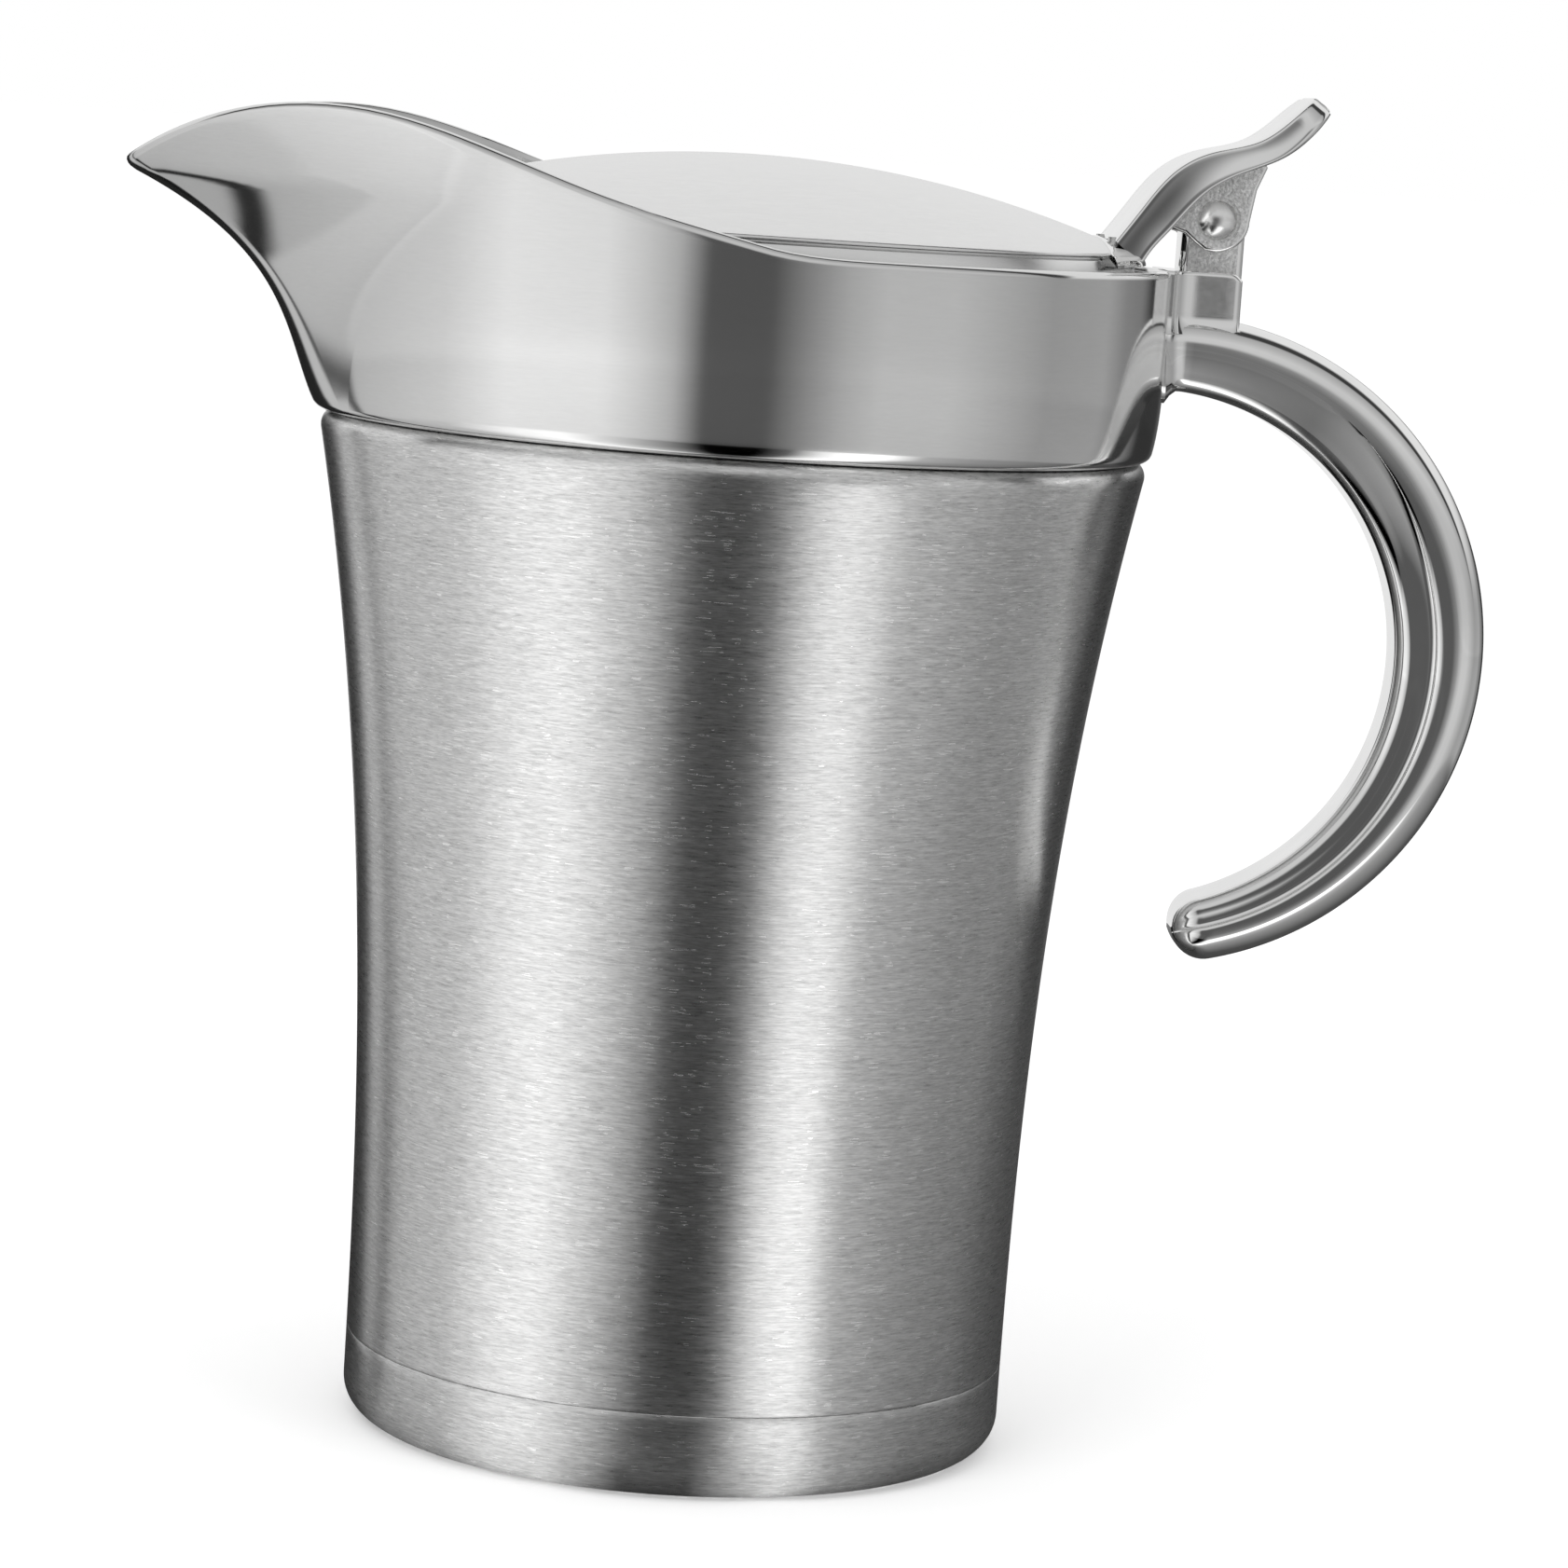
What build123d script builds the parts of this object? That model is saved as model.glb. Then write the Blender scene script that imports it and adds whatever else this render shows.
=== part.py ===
from build123d import *
from math import acos, atan, atan2, cos, degrees, exp, hypot, radians, sin, sqrt
import os

# Insulated gravy boat with a hinged lid. Sizes in millimetres, +Z up.
# The spout points along -X, the handle along +X, and the origin is the centre of the foot ring.

# Double wall of the vessel
base_radius = 40.6
shoulder_radius = 50.0
shoulder_z = 120.6
flare_power = 2.43
sheet = 0.6
base_corner = 4.0
foot_ring_width = 2.0
foot_recess = 1.6
base_weld_z = 10.5
shoulder_round = 2.0
neck_step = 3.6
neck_radius = shoulder_radius - neck_step
neck_round = 0.8
neck_height = 10.0
wall_gap = 4.1
neck_gap = 0.5
liner_shoulder_drop = 4.0
liner_weld_z = 22.0
liner_corner_z = 17.0
liner_corner = 8.0
curve_steps = 8

# Evacuation seal in the base, and getter under the liner
seal_radius = 4.0
seal_thickness = 1.0
seal_hole_radius = 1.0
getter_radius = 5.0
getter_thickness = 1.6
getter_cup_wall = 0.4

# Collar with the spout
seam_drop = 0.1
collar_step = 0.5
collar_radius = shoulder_radius + collar_step
collar_height = 23.1
collar_flare = 1.1
collar_flare_height = 4.0
collar_wall = 1.4
spout_start = 0.3
spout_lean = 0.27
spout_sweep = 15.0
spout_rise = 27.0
spout_power = 3.5
lip_lean = 1.2
nose_radius = 8.5
nose_taper = 4.0
section_rises = (0.0, 4.0, 9.0, 14.0, 18.0, 21.0, 24.0, 27.0, 30.5, 34.5, 38.5)
slope_step = 0.01
rim_flat_x = 13.0
rim_low_rise = 1.0
rim_mid_x = -17.3
rim_mid_rise = 5.1
crest_inset = 2.5
crest_rise = 13.3
tip_reach = 24.7
tip_rise = 5.2
tip_slope = 0.72

# Sleeve inside the collar, and the gasket that it presses on the vessel's lip
fit = 0.1
gasket_thickness = 1.0
gasket_width = 1.4
sleeve_lip = 1.2
ledge_width = 4.6
lid_seat_gap = 0.3
spout_floor_inset = 2.4
ledge_front_x = -12.0

# Handle: two arcs about their own centres, the inner one a little lower and nearer the vessel
handle_reach = 3.0
handle_drop = 45.0
handle_radius = 39.8
grip_inset = 2.9
grip_drop = 1.0
grip_step = 8.1
grip_radius = handle_radius - grip_step
handle_width = 13.0
handle_round = 3.6
handle_tip_angle = -77.0
handle_root_depth = 2.5
insert_depth = 4.6
insert_side_step = 0.9
insert_round = 2.4
insert_top_angle = 42.0
insert_end_angle = -68.0

# Hinge block, tongue and rivet
pin_reach = 5.7
pin_rise = 6.5
tongue_width = 6.6
tongue_radius = 3.8
block_width = 11.0
block_height = 8.0
block_round = 1.2
pin_radius = 1.5
pin_clearance = 0.06
rivet_head_radius = 2.4
rivet_head_height = 1.1
ear_thickness = 2.0
ear_radius = 3.6
ear_side_gap = 0.35
ear_recess = 0.3
tongue_top_gap = 0.4

# Lid
dome_radius = 128.0
lid_edge_height = 3.06
lid_overhang = 0.6
lid_drop = 1.4
dome_sheet = 0.7
dome_roll = 0.8
underplate_thickness = 1.2
foam_gap = 0.3

# Thumb lever. The outlines are side views, measured from the pin
lever_top = [(-12.6, -3.2), (-9.8, 0.8), (-6.1, 5.5), (-1.9, 8.0), (4.0, 9.8), (8.4, 13.3), (10.7, 15.5)]
lever_under = [(12.8, 13.9), (10.6, 11.1), (7.2, 8.1), (2.7, 6.0), (-1.9, 3.3), (-6.2, -1.6), (-9.0, -4.7)]
ear_left = [(-5.9, -1.3), (-3.8, -1.8)]
ear_right = [(4.3, 3.9), (5.7, 6.9)]
ear_top = (0.8, 7.5)
lever_root_width = 20.4
lever_tip_width = 17.2
lever_tip_round = 5.0
foot_thickness = 1.5
foot_overhang = 1.3
foot_length = 7.5
foot_width = 48.3
foot_round = 3.0
foot_rise = 1.9

# Screws
handle_screw_radius = 1.25
handle_screw_head_radius = 2.3
handle_screw_head_height = 1.5
handle_screw_length = 13.0
handle_screw_spacing = 7.0
handle_screw_drop = 7.8
lever_screw_radius = 1.0
lever_screw_head_radius = 1.6
lever_screw_head_height = 0.9
lever_screw_grip = 1.1
lever_screw_spacing = 14.0
lever_screw_inset = 3.0


def arc(centre, radius, start, end):
    """Arc in the XZ plane, with angles in degrees from +X towards +Z."""
    points = []
    for angle in (start, (start + end) / 2, end):
        turn = radians(angle)
        points.append((centre[0] + radius * cos(turn), 0, centre[1] + radius * sin(turn)))
    return ThreePointArc(*points)


def line(start, end):
    return Line((start[0], 0, start[1]), (end[0], 0, end[1]))


def outline(points):
    """Closed straight-sided face in the XZ plane."""
    edges = [line(a, b) for a, b in zip(points, points[1:] + points[:1])]
    return Face(Wire(edges))


def spun(face):
    return revolve(face, Axis.Z, 360)


def disc(radius, low_z, high_z):
    return spun(outline([(0, low_z), (radius, low_z), (radius, high_z), (0, high_z)]))


def ring(inner, outer, low_z, high_z):
    return spun(outline([(inner, low_z), (outer, low_z), (outer, high_z), (inner, high_z)]))


def turned_sheet(path, thickness):
    """Ring of sheet metal: path(inset) gives the edges of one face of the sheet."""
    outer = path(0)
    inner = path(thickness)
    start = Line(outer[0] @ 0, inner[0] @ 0)
    end = Line(outer[-1] @ 1, inner[-1] @ 1)
    return spun(Face(Wire(outer + [end] + inner + [start])))


def across(face, width):
    """Solid of a side view, centred on the plane of symmetry."""
    return extrude(face, amount=width / 2, both=True)


flare = shoulder_radius - base_radius
flare_height = shoulder_z - base_corner


def wall_lean(z):
    """Angle of the flared wall from the vertical, in radians."""
    return atan(flare_power * flare / flare_height * ((z - base_corner) / flare_height) ** (flare_power - 1))


def wall_point(inset, z):
    """Point that lies inset from the flared wall, square to it."""
    radius = base_radius + flare * ((z - base_corner) / flare_height) ** flare_power
    lean = wall_lean(z)
    return (radius - inset * cos(lean), z + inset * sin(lean))


def wall_curve(inset, low_z, high_z):
    step = (high_z - low_z) / curve_steps
    points = [wall_point(inset, low_z + step * k) for k in range(curve_steps + 1)]
    tangents = [(sin(wall_lean(z)), 0, cos(wall_lean(z))) for z in (low_z, high_z)]
    return Spline([(x, 0, z) for x, z in points], tangents=tangents)


# Vessel

shoulder_x, shoulder_mid_z = wall_point(shoulder_round, shoulder_z)
shoulder_top_z = shoulder_mid_z + shoulder_round
neck_turn_x = neck_radius + neck_round
lip_z = shoulder_top_z + neck_height
collar_z = shoulder_top_z - seam_drop
rim_z = collar_z + collar_height
lid_bottom_z = rim_z - lid_drop
lid_radius = neck_radius + lid_overhang
dome_rise = dome_radius - sqrt(dome_radius ** 2 - lid_radius ** 2)
dome_top_z = lid_bottom_z + lid_edge_height + dome_rise
pin_x = collar_radius + pin_reach
pin_z = rim_z + pin_rise
handle_x = collar_radius + handle_reach
handle_z = rim_z - handle_drop
grip_x = handle_x - grip_inset
grip_z = handle_z - grip_drop
foot_outer = base_radius - base_corner
foot_inner = foot_outer - foot_ring_width
seal_top_z = foot_recess + seal_thickness


def outer_shell_path(inset):
    top_z = shoulder_top_z - inset
    turn_z = shoulder_top_z + neck_round
    return [
        wall_curve(inset, base_weld_z, shoulder_z),
        arc((shoulder_x, shoulder_mid_z), shoulder_round - inset, -degrees(wall_lean(shoulder_z)), 90),
        line((shoulder_x, top_z), (neck_turn_x, top_z)),
        arc((neck_turn_x, turn_z), neck_round + inset, 270, 180),
        line((neck_radius - inset, turn_z), (neck_radius - inset, lip_z)),
    ]


def outer_shell():
    return turned_sheet(outer_shell_path, sheet)


def base_cup_path(inset):
    bevel = inset * (sqrt(2) - 1)
    dimple = seal_radius + fit + inset
    floor_z = foot_recess + inset
    corner = (foot_outer, base_corner)
    slope_top = (foot_inner - foot_recess + bevel, floor_z)
    slope_foot = (foot_inner + bevel, inset)
    return [
        line((seal_hole_radius, seal_top_z + inset), (dimple, seal_top_z + inset)),
        line((dimple, seal_top_z + inset), (dimple, floor_z)),
        line((dimple, floor_z), slope_top),
        line(slope_top, slope_foot),
        line(slope_foot, (foot_outer, inset)),
        arc(corner, base_corner - inset, 270, 360),
        wall_curve(inset, base_corner, base_weld_z),
    ]


def base_cup():
    """Pressed bottom of the outer wall, with a foot ring and a dimple for the seal."""
    return turned_sheet(base_cup_path, sheet)


def vacuum_seal():
    """Solder that fills the evacuation hole and its dimple."""
    return disc(seal_radius, foot_recess, seal_top_z) + disc(seal_hole_radius, seal_top_z, seal_top_z + sheet)


liner_inset = sheet + wall_gap
liner_neck = neck_radius - sheet - neck_gap
liner_turn_x, liner_turn_z = wall_point(liner_inset + liner_corner, liner_corner_z)
liner_floor_z = liner_turn_z - liner_corner


def liner_base_path(inset):
    floor_z = liner_floor_z + inset
    corner_end = 360 - degrees(wall_lean(liner_corner_z))
    return [
        line((0, floor_z), (liner_turn_x, floor_z)),
        arc((liner_turn_x, liner_turn_z), liner_corner - inset, 270, corner_end),
        wall_curve(liner_inset + inset, liner_corner_z, liner_weld_z),
    ]


def liner_base():
    return turned_sheet(liner_base_path, sheet)


def inner_liner_path(inset):
    bend_z = shoulder_z - liner_shoulder_drop
    neck_x = liner_neck - inset
    return [
        wall_curve(liner_inset + inset, liner_weld_z, bend_z),
        line(wall_point(liner_inset + inset, bend_z), (neck_x, shoulder_z)),
        line((neck_x, shoulder_z), (neck_x, lip_z + inset)),
        line((neck_x, lip_z + inset), (neck_radius, lip_z + inset)),
    ]


def inner_liner():
    """Inner wall, with a lip that is turned out over the neck of the outer wall."""
    return turned_sheet(inner_liner_path, sheet)


def getter():
    return disc(getter_radius, liner_floor_z - getter_thickness, liner_floor_z)


def getter_cup():
    outer = getter_radius + getter_cup_wall
    pellet_z = liner_floor_z - getter_thickness
    return ring(getter_radius, outer, pellet_z, liner_floor_z) + disc(outer, pellet_z - getter_cup_wall, pellet_z)


# Collar with the spout

def collar_round(z):
    """Radius of the round back of the collar."""
    return collar_radius + collar_flare * (1 - exp((collar_z - z) / collar_flare_height))


def spout_lead(z):
    """How far the front of the spout reaches beyond the round back."""
    rise = z - collar_z
    curved = min(rise, spout_rise)
    sweep = spout_sweep * (curved / spout_rise) ** spout_power
    return spout_start + spout_lean * curved + sweep + lip_lean * (rise - curved)


def collar_section(z, inset):
    """Level slice: a round back, two tangent sides and a round nose."""
    back = collar_round(z)
    lead = spout_lead(z)
    slope = (spout_lead(z + slope_step) - lead) / slope_step
    nose = nose_radius + (back - nose_radius) * exp(-lead / nose_taper)
    tip = back + lead - inset * hypot(1, slope)
    back -= inset
    nose -= inset
    nose_x = tip - nose
    turn = acos((back - nose) / nose_x)
    back_x = -back * cos(turn)
    back_y = back * sin(turn)
    side_x = -nose_x - nose * cos(turn)
    side_y = nose * sin(turn)
    edges = [
        ThreePointArc((back_x, back_y, z), (back, 0, z), (back_x, -back_y, z)),
        Line((back_x, -back_y, z), (side_x, -side_y, z)),
        ThreePointArc((side_x, -side_y, z), (-tip, 0, z), (side_x, side_y, z)),
        Line((side_x, side_y, z), (back_x, back_y, z)),
    ]
    return Face(Wire(edges))


def collar_form(inset):
    return loft([collar_section(collar_z + rise, inset) for rise in section_rises])


def above_rim():
    """Everything over the S-shaped rim."""
    room = collar_radius
    points = [
        (-collar_radius - tip_reach, rim_z + tip_rise),
        (-collar_radius + crest_inset, rim_z + crest_rise),
        (rim_mid_x, rim_z + rim_mid_rise),
        (0, rim_z + rim_low_rise),
        (rim_flat_x, rim_z),
    ]
    curve = Spline([(x, 0, z) for x, z in points], tangents=[(1, 0, tip_slope), (1, 0, 0)])
    front = (points[0][0] - room, points[0][1] - room * tip_slope)
    back_x = collar_radius + room
    top_z = rim_z + room
    edges = [
        line(front, points[0]),
        curve,
        line(points[-1], (back_x, rim_z)),
        line((back_x, rim_z), (back_x, top_z)),
        line((back_x, top_z), (front[0], top_z)),
        line((front[0], top_z), front),
    ]
    return across(Face(Wire(edges)), 4 * collar_radius)


def handle_screw_places():
    return [Pos(0, side * handle_screw_spacing / 2, rim_z - handle_screw_drop) for side in (-1, 1)]


def rod_x(radius, low_x, high_x):
    """Round rod along X."""
    return Pos(low_x, 0, 0) * Rot(0, 90, 0) * extrude(Circle(radius), amount=high_x - low_x)


def rod_y(radius, width):
    """Round rod along Y, centred."""
    return Rot(90, 0, 0) * extrude(Circle(radius), amount=width / 2, both=True)


sleeve_inner = neck_radius + fit
screw_seat_x = sqrt(sleeve_inner ** 2 - (handle_screw_spacing / 2 + handle_screw_head_radius) ** 2) - fit
screw_end_x = screw_seat_x + handle_screw_length


def spout_collar(outside):
    collar = outside - collar_form(collar_wall) - above_rim()
    for place in handle_screw_places():
        collar -= place * rod_x(handle_screw_radius + fit, 0, screw_end_x)
    return collar


gasket_z = lip_z + sheet
gasket_top_z = gasket_z + gasket_thickness


def neck_gasket():
    return ring(neck_radius - gasket_width, neck_radius, gasket_z, gasket_top_z)


def sleeve_outer(z):
    return collar_round(z) - collar_wall - fit


def collar_sleeve():
    """Ring that carries the collar on the vessel's neck, and the lid on its upper ledge."""
    foot_z = shoulder_top_z + fit
    ledge_z = lid_bottom_z - lid_seat_gap
    ledge_inner = sleeve_outer(ledge_z) - ledge_width
    step = (ledge_z - foot_z) / curve_steps
    heights = [foot_z + step * k for k in range(curve_steps + 1)]
    outer = Spline([(sleeve_outer(z), 0, z) for z in heights])
    inner_points = [
        (sleeve_outer(ledge_z), ledge_z),
        (ledge_inner, ledge_z),
        (ledge_inner, ledge_z - sleeve_lip),
        (sleeve_inner, ledge_z - sleeve_lip),
        (sleeve_inner, gasket_top_z + sleeve_lip),
        (neck_radius - gasket_width, gasket_top_z + sleeve_lip),
        (neck_radius - gasket_width, gasket_top_z),
        (sleeve_inner, gasket_top_z),
        (sleeve_inner, foot_z + neck_round),
        (sleeve_inner + neck_round, foot_z),
        (sleeve_outer(foot_z), foot_z),
    ]
    inner = [line(a, b) for a, b in zip(inner_points, inner_points[1:])]
    sleeve = spun(Face(Wire([outer] + inner)))
    front = -2 * collar_radius
    spout_gap = [
        (front, gasket_top_z + sleeve_lip),
        (spout_floor_inset - neck_radius, gasket_top_z + sleeve_lip),
        (ledge_front_x, ledge_z),
        (ledge_front_x, ledge_z + sleeve_lip),
        (front, ledge_z + sleeve_lip),
    ]
    sleeve -= across(outline(spout_gap), 4 * collar_radius)
    for place in handle_screw_places():
        sleeve -= place * rod_x(handle_screw_radius + fit, 0, screw_end_x)
    return sleeve


def handle_screws():
    head = rod_x(handle_screw_head_radius, screw_seat_x - handle_screw_head_height, screw_seat_x)
    screw = head + rod_x(handle_screw_radius, screw_seat_x, screw_end_x)
    return [place * screw for place in handle_screw_places()]


# Handle

def handle_side():
    """Side view of the handle: two arcs that narrow to a round tip."""
    shift_x = handle_x - grip_x
    shift_z = handle_z - grip_z
    tip_turn = radians(handle_tip_angle)
    along = shift_x * cos(tip_turn) + shift_z * sin(tip_turn)
    shift = hypot(shift_x, shift_z)
    cap = (shift ** 2 + 2 * handle_radius * along + handle_radius ** 2 - grip_radius ** 2) / (
        2 * (handle_radius + grip_radius + along)
    )
    cap_x = handle_x + (handle_radius - cap) * cos(tip_turn)
    cap_z = handle_z + (handle_radius - cap) * sin(tip_turn)
    grip_end = degrees(atan2(cap_z - grip_z, cap_x - grip_x))
    root_x = collar_radius - handle_root_depth
    outer_start = degrees(acos((root_x - handle_x) / handle_radius))
    grip_start = degrees(acos((root_x - grip_x) / grip_radius))
    outer = arc((handle_x, handle_z), handle_radius, outer_start, handle_tip_angle)
    end = arc((cap_x, cap_z), cap, handle_tip_angle, grip_end - 180)
    grip = arc((grip_x, grip_z), grip_radius, grip_end, grip_start)
    root = Line(grip @ 1, outer @ 0)
    return Face(Wire([outer, end, grip, root]))


def handle_form(width, edge_round):
    form = across(handle_side(), width)
    long_edges = [edge for edge in form.edges() if edge.geom_type == GeomType.CIRCLE]
    return fillet(long_edges, edge_round)


def insert_zone():
    """Inner half of the grip, behind the seam that runs along each side of the handle."""
    radius = handle_radius - insert_depth
    reach = radius + handle_radius
    top = radians(insert_top_angle)
    end = radians(insert_end_angle)
    centre = (handle_x, handle_z)
    top_point = (handle_x + reach * cos(top), handle_z + reach * sin(top))
    end_point = (handle_x + reach * cos(end), handle_z + reach * sin(end))
    far_point = (handle_x + 2 * reach, handle_z)
    wedge = across(outline([centre, end_point, far_point, top_point]), 2 * handle_width)
    return wedge & (Pos(handle_x, 0, handle_z) * rod_y(radius, 2 * handle_width))


def tongue_outline(radius):
    """Side view of the tongue, round at the pin."""
    low_z = rim_z - block_round
    left = (pin_x - radius, pin_z)
    right = (pin_x + radius, pin_z)
    edges = [
        line((pin_x - radius, low_z), (pin_x + radius, low_z)),
        line((pin_x + radius, low_z), right),
        arc((pin_x, pin_z), radius, 0, 180),
        line(left, (pin_x - radius, low_z)),
    ]
    return Face(Wire(edges))


def hinge_block():
    back_x = pin_x + tongue_radius
    front_x = collar_radius - collar_wall
    low_z = rim_z - block_height
    corners = [(front_x, low_z), (back_x, low_z), (back_x, rim_z), (front_x, rim_z)]
    block = across(outline(corners), block_width)
    upright = [edge for edge in block.edges().filter_by(Axis.Z) if edge.center().X > pin_x]
    return fillet(upright, block_round)


def handle_shell(collar_outside):
    """Handle casting, with the hinge block and the tongue that carries the lid."""
    shell = handle_form(handle_width, handle_round) - insert_zone()
    shell += hinge_block()
    shell += across(tongue_outline(tongue_radius), tongue_width)
    shell -= collar_outside
    shell -= Pos(pin_x, 0, pin_z) * rod_y(pin_radius + pin_clearance, 2 * block_width)
    for place in handle_screw_places():
        shell -= place * rod_x(handle_screw_radius, 0, screw_end_x)
    return shell


def handle_insert():
    return handle_form(handle_width - 2 * insert_side_step, insert_round) & insert_zone()


# Lid

dome_centre_z = dome_top_z - dome_radius
roll_x = lid_radius - dome_roll
roll_z = dome_centre_z + sqrt((dome_radius - dome_roll) ** 2 - roll_x ** 2)
roll_angle = degrees(atan2(roll_z - dome_centre_z, roll_x))


def dome_path(inset):
    return [
        arc((0, dome_centre_z), dome_radius - inset, 90, roll_angle),
        arc((roll_x, roll_z), dome_roll - inset, roll_angle, 0),
        line((lid_radius - inset, roll_z), (lid_radius - inset, lid_bottom_z)),
    ]


def dome_z(radius, inset=0.0):
    return dome_centre_z + sqrt((dome_radius - inset) ** 2 - radius ** 2)


lever_screw_x = lid_radius - lever_screw_inset


def lever_screw_places():
    return [Pos(lever_screw_x, side * lever_screw_spacing / 2, 0) for side in (-1, 1)]


lever_screw_reach = hypot(lever_screw_x, lever_screw_spacing / 2)
lever_screw_seat_z = dome_z(lever_screw_reach + lever_screw_head_radius, dome_sheet) - fit
lever_screw_end_z = dome_z(lever_screw_reach) + lever_screw_grip


def upright_rod(radius, low_z, high_z):
    return Pos(0, 0, low_z) * extrude(Circle(radius), amount=high_z - low_z)


def lid_dome():
    dome = turned_sheet(dome_path, dome_sheet)
    for place in lever_screw_places():
        dome -= place * upright_rod(lever_screw_radius + fit, lid_bottom_z, dome_top_z)
    return dome


def lever_screws():
    head_z = lever_screw_seat_z - lever_screw_head_height
    head = upright_rod(lever_screw_head_radius, head_z, lever_screw_seat_z)
    screw = head + upright_rod(lever_screw_radius, lever_screw_seat_z, lever_screw_end_z)
    return [place * screw for place in lever_screw_places()]


plate_radius = lid_radius - dome_sheet - fit
plate_top_z = lid_bottom_z + underplate_thickness


def lid_underplate():
    return disc(plate_radius, lid_bottom_z, plate_top_z)


def lid_foam():
    """Foam disc between the underplate and the dome, hollowed over the screw heads."""
    radius = lever_screw_reach - lever_screw_head_radius - foam_gap
    low_z = plate_top_z + fit
    top_inset = dome_sheet + foam_gap
    edges = [
        line((0, low_z), (radius, low_z)),
        line((radius, low_z), (radius, dome_z(radius, top_inset))),
        arc((0, dome_centre_z), dome_radius - top_inset, degrees(acos(radius / (dome_radius - top_inset))), 90),
        line((0, dome_top_z - top_inset), (0, low_z)),
    ]
    return spun(Face(Wire(edges)))


# Thumb lever

def from_pin(point):
    return (pin_x + point[0], pin_z + point[1])


def lever_side():
    top = [from_pin(point) for point in lever_top]
    under = [from_pin(point) for point in lever_under]
    edges = [
        Spline([(x, 0, z) for x, z in top]),
        line(top[-1], under[0]),
        Spline([(x, 0, z) for x, z in under]),
        line(under[-1], top[0]),
    ]
    return Face(Wire(edges))


def lever_plan():
    """View from above: tapers a little, with round corners at the thumb end."""
    root = lever_root_width / 2
    tip = lever_tip_width / 2
    root_x = pin_x + lever_top[0][0] - foot_thickness
    tip_x = pin_x + lever_under[0][0]
    corners = [(root_x, -root), (tip_x, -tip), (tip_x, tip), (root_x, root)]
    plan = Polygon(*corners, align=None)
    tip_corners = [vertex for vertex in plan.vertices() if vertex.X > pin_x]
    plan = fillet(tip_corners, lever_tip_round)
    return Pos(0, 0, lid_bottom_z) * extrude(plan, amount=dome_top_z)


def lever_foot(dome_outside):
    """Pad that follows the dome and its rolled edge."""
    outer = lid_radius + foot_overhang
    inner = outer - foot_length - foot_round
    low_z = lid_bottom_z + foot_rise
    edge_z = dome_z(lid_radius) + foot_thickness / 2
    corners = [
        (inner, low_z),
        (outer, low_z),
        (outer, edge_z),
        (lid_radius - foot_thickness / 2, dome_z(lid_radius) + foot_thickness),
        (inner, dome_z(inner) + foot_thickness),
    ]
    pad = spun(outline(corners))
    plan = RectangleRounded(2 * foot_length, foot_width, foot_round)
    zone = Pos(outer, 0, lid_bottom_z) * extrude(plan, amount=dome_top_z)
    return (pad & zone) - dome_outside


def ear():
    """Side view of one hinge ear, round under the pin."""
    left, start = [from_pin(point) for point in ear_left]
    right, end = [from_pin(point) for point in ear_right]
    top = from_pin(ear_top)
    low = (pin_x, pin_z - ear_radius)
    side = (pin_x + ear_radius, pin_z)
    edges = [
        line(left, start),
        Spline([(start[0], 0, start[1]), (low[0], 0, low[1])], tangents=[(1, 0, -0.5), (1, 0, 0)]),
        arc((pin_x, pin_z), ear_radius, 270, 360),
        line(side, right),
        line(right, end),
        line(end, top),
        line(top, left),
    ]
    return Face(Wire(edges))


def lid_lever():
    """Thumb lever with its foot on the dome and two ears that straddle the tongue."""
    floor = [line((lid_radius, lid_bottom_z), (0, lid_bottom_z)), line((0, lid_bottom_z), (0, dome_top_z))]
    dome_outside = spun(Face(Wire(dome_path(0) + floor)))
    lever = (across(lever_side(), 2 * lever_root_width) & lever_plan()) - dome_outside
    lever += lever_foot(dome_outside)
    between = tongue_width + 2 * ear_side_gap
    ears = across(ear(), between + 2 * ear_thickness) - across(ear(), between)
    lever += ears
    pin = Pos(pin_x, 0, pin_z)
    lever -= pin * rod_y(tongue_radius + tongue_top_gap, between)
    lever -= pin * rod_y(pin_radius, 2 * block_width)
    recess_width = between + 2 * (ear_thickness - ear_recess)
    recess = rod_y(rivet_head_radius + fit, 2 * block_width) - rod_y(rivet_head_radius + fit, recess_width)
    lever -= pin * recess
    for place in lever_screw_places():
        lever -= place * upright_rod(lever_screw_radius, lid_bottom_z, lever_screw_end_z)
    return lever


def hinge_rivet():
    """Rivet through the ears and the tongue, with a domed head at each end."""
    seat = tongue_width / 2 + ear_side_gap + ear_thickness - ear_recess
    rise = rivet_head_height
    ball = (rivet_head_radius ** 2 + rise ** 2) / (2 * rise)
    rim_angle = degrees(acos(rivet_head_radius / ball))
    centre_z = seat + rise - ball
    edges = [
        line((0, -seat), (pin_radius, -seat)),
        line((pin_radius, -seat), (pin_radius, seat)),
        line((pin_radius, seat), (rivet_head_radius, seat)),
        arc((0, centre_z), ball, rim_angle, 90),
        line((0, seat + rise), (0, -seat)),
    ]
    half = spun(Face(Wire(edges)))
    rivet = half + half.mirror(Plane.XY)
    return Pos(pin_x, 0, pin_z) * Rot(90, 0, 0) * rivet


def write(name, shape):
    solids = shape if isinstance(shape, list) else shape.solids()
    body = solids[0] if len(solids) == 1 else Compound(children=list(solids))
    export_step(body, "parts/" + name + ".step")
    print(name, len(solids), [round(solid.volume, 1) for solid in solids])


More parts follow.
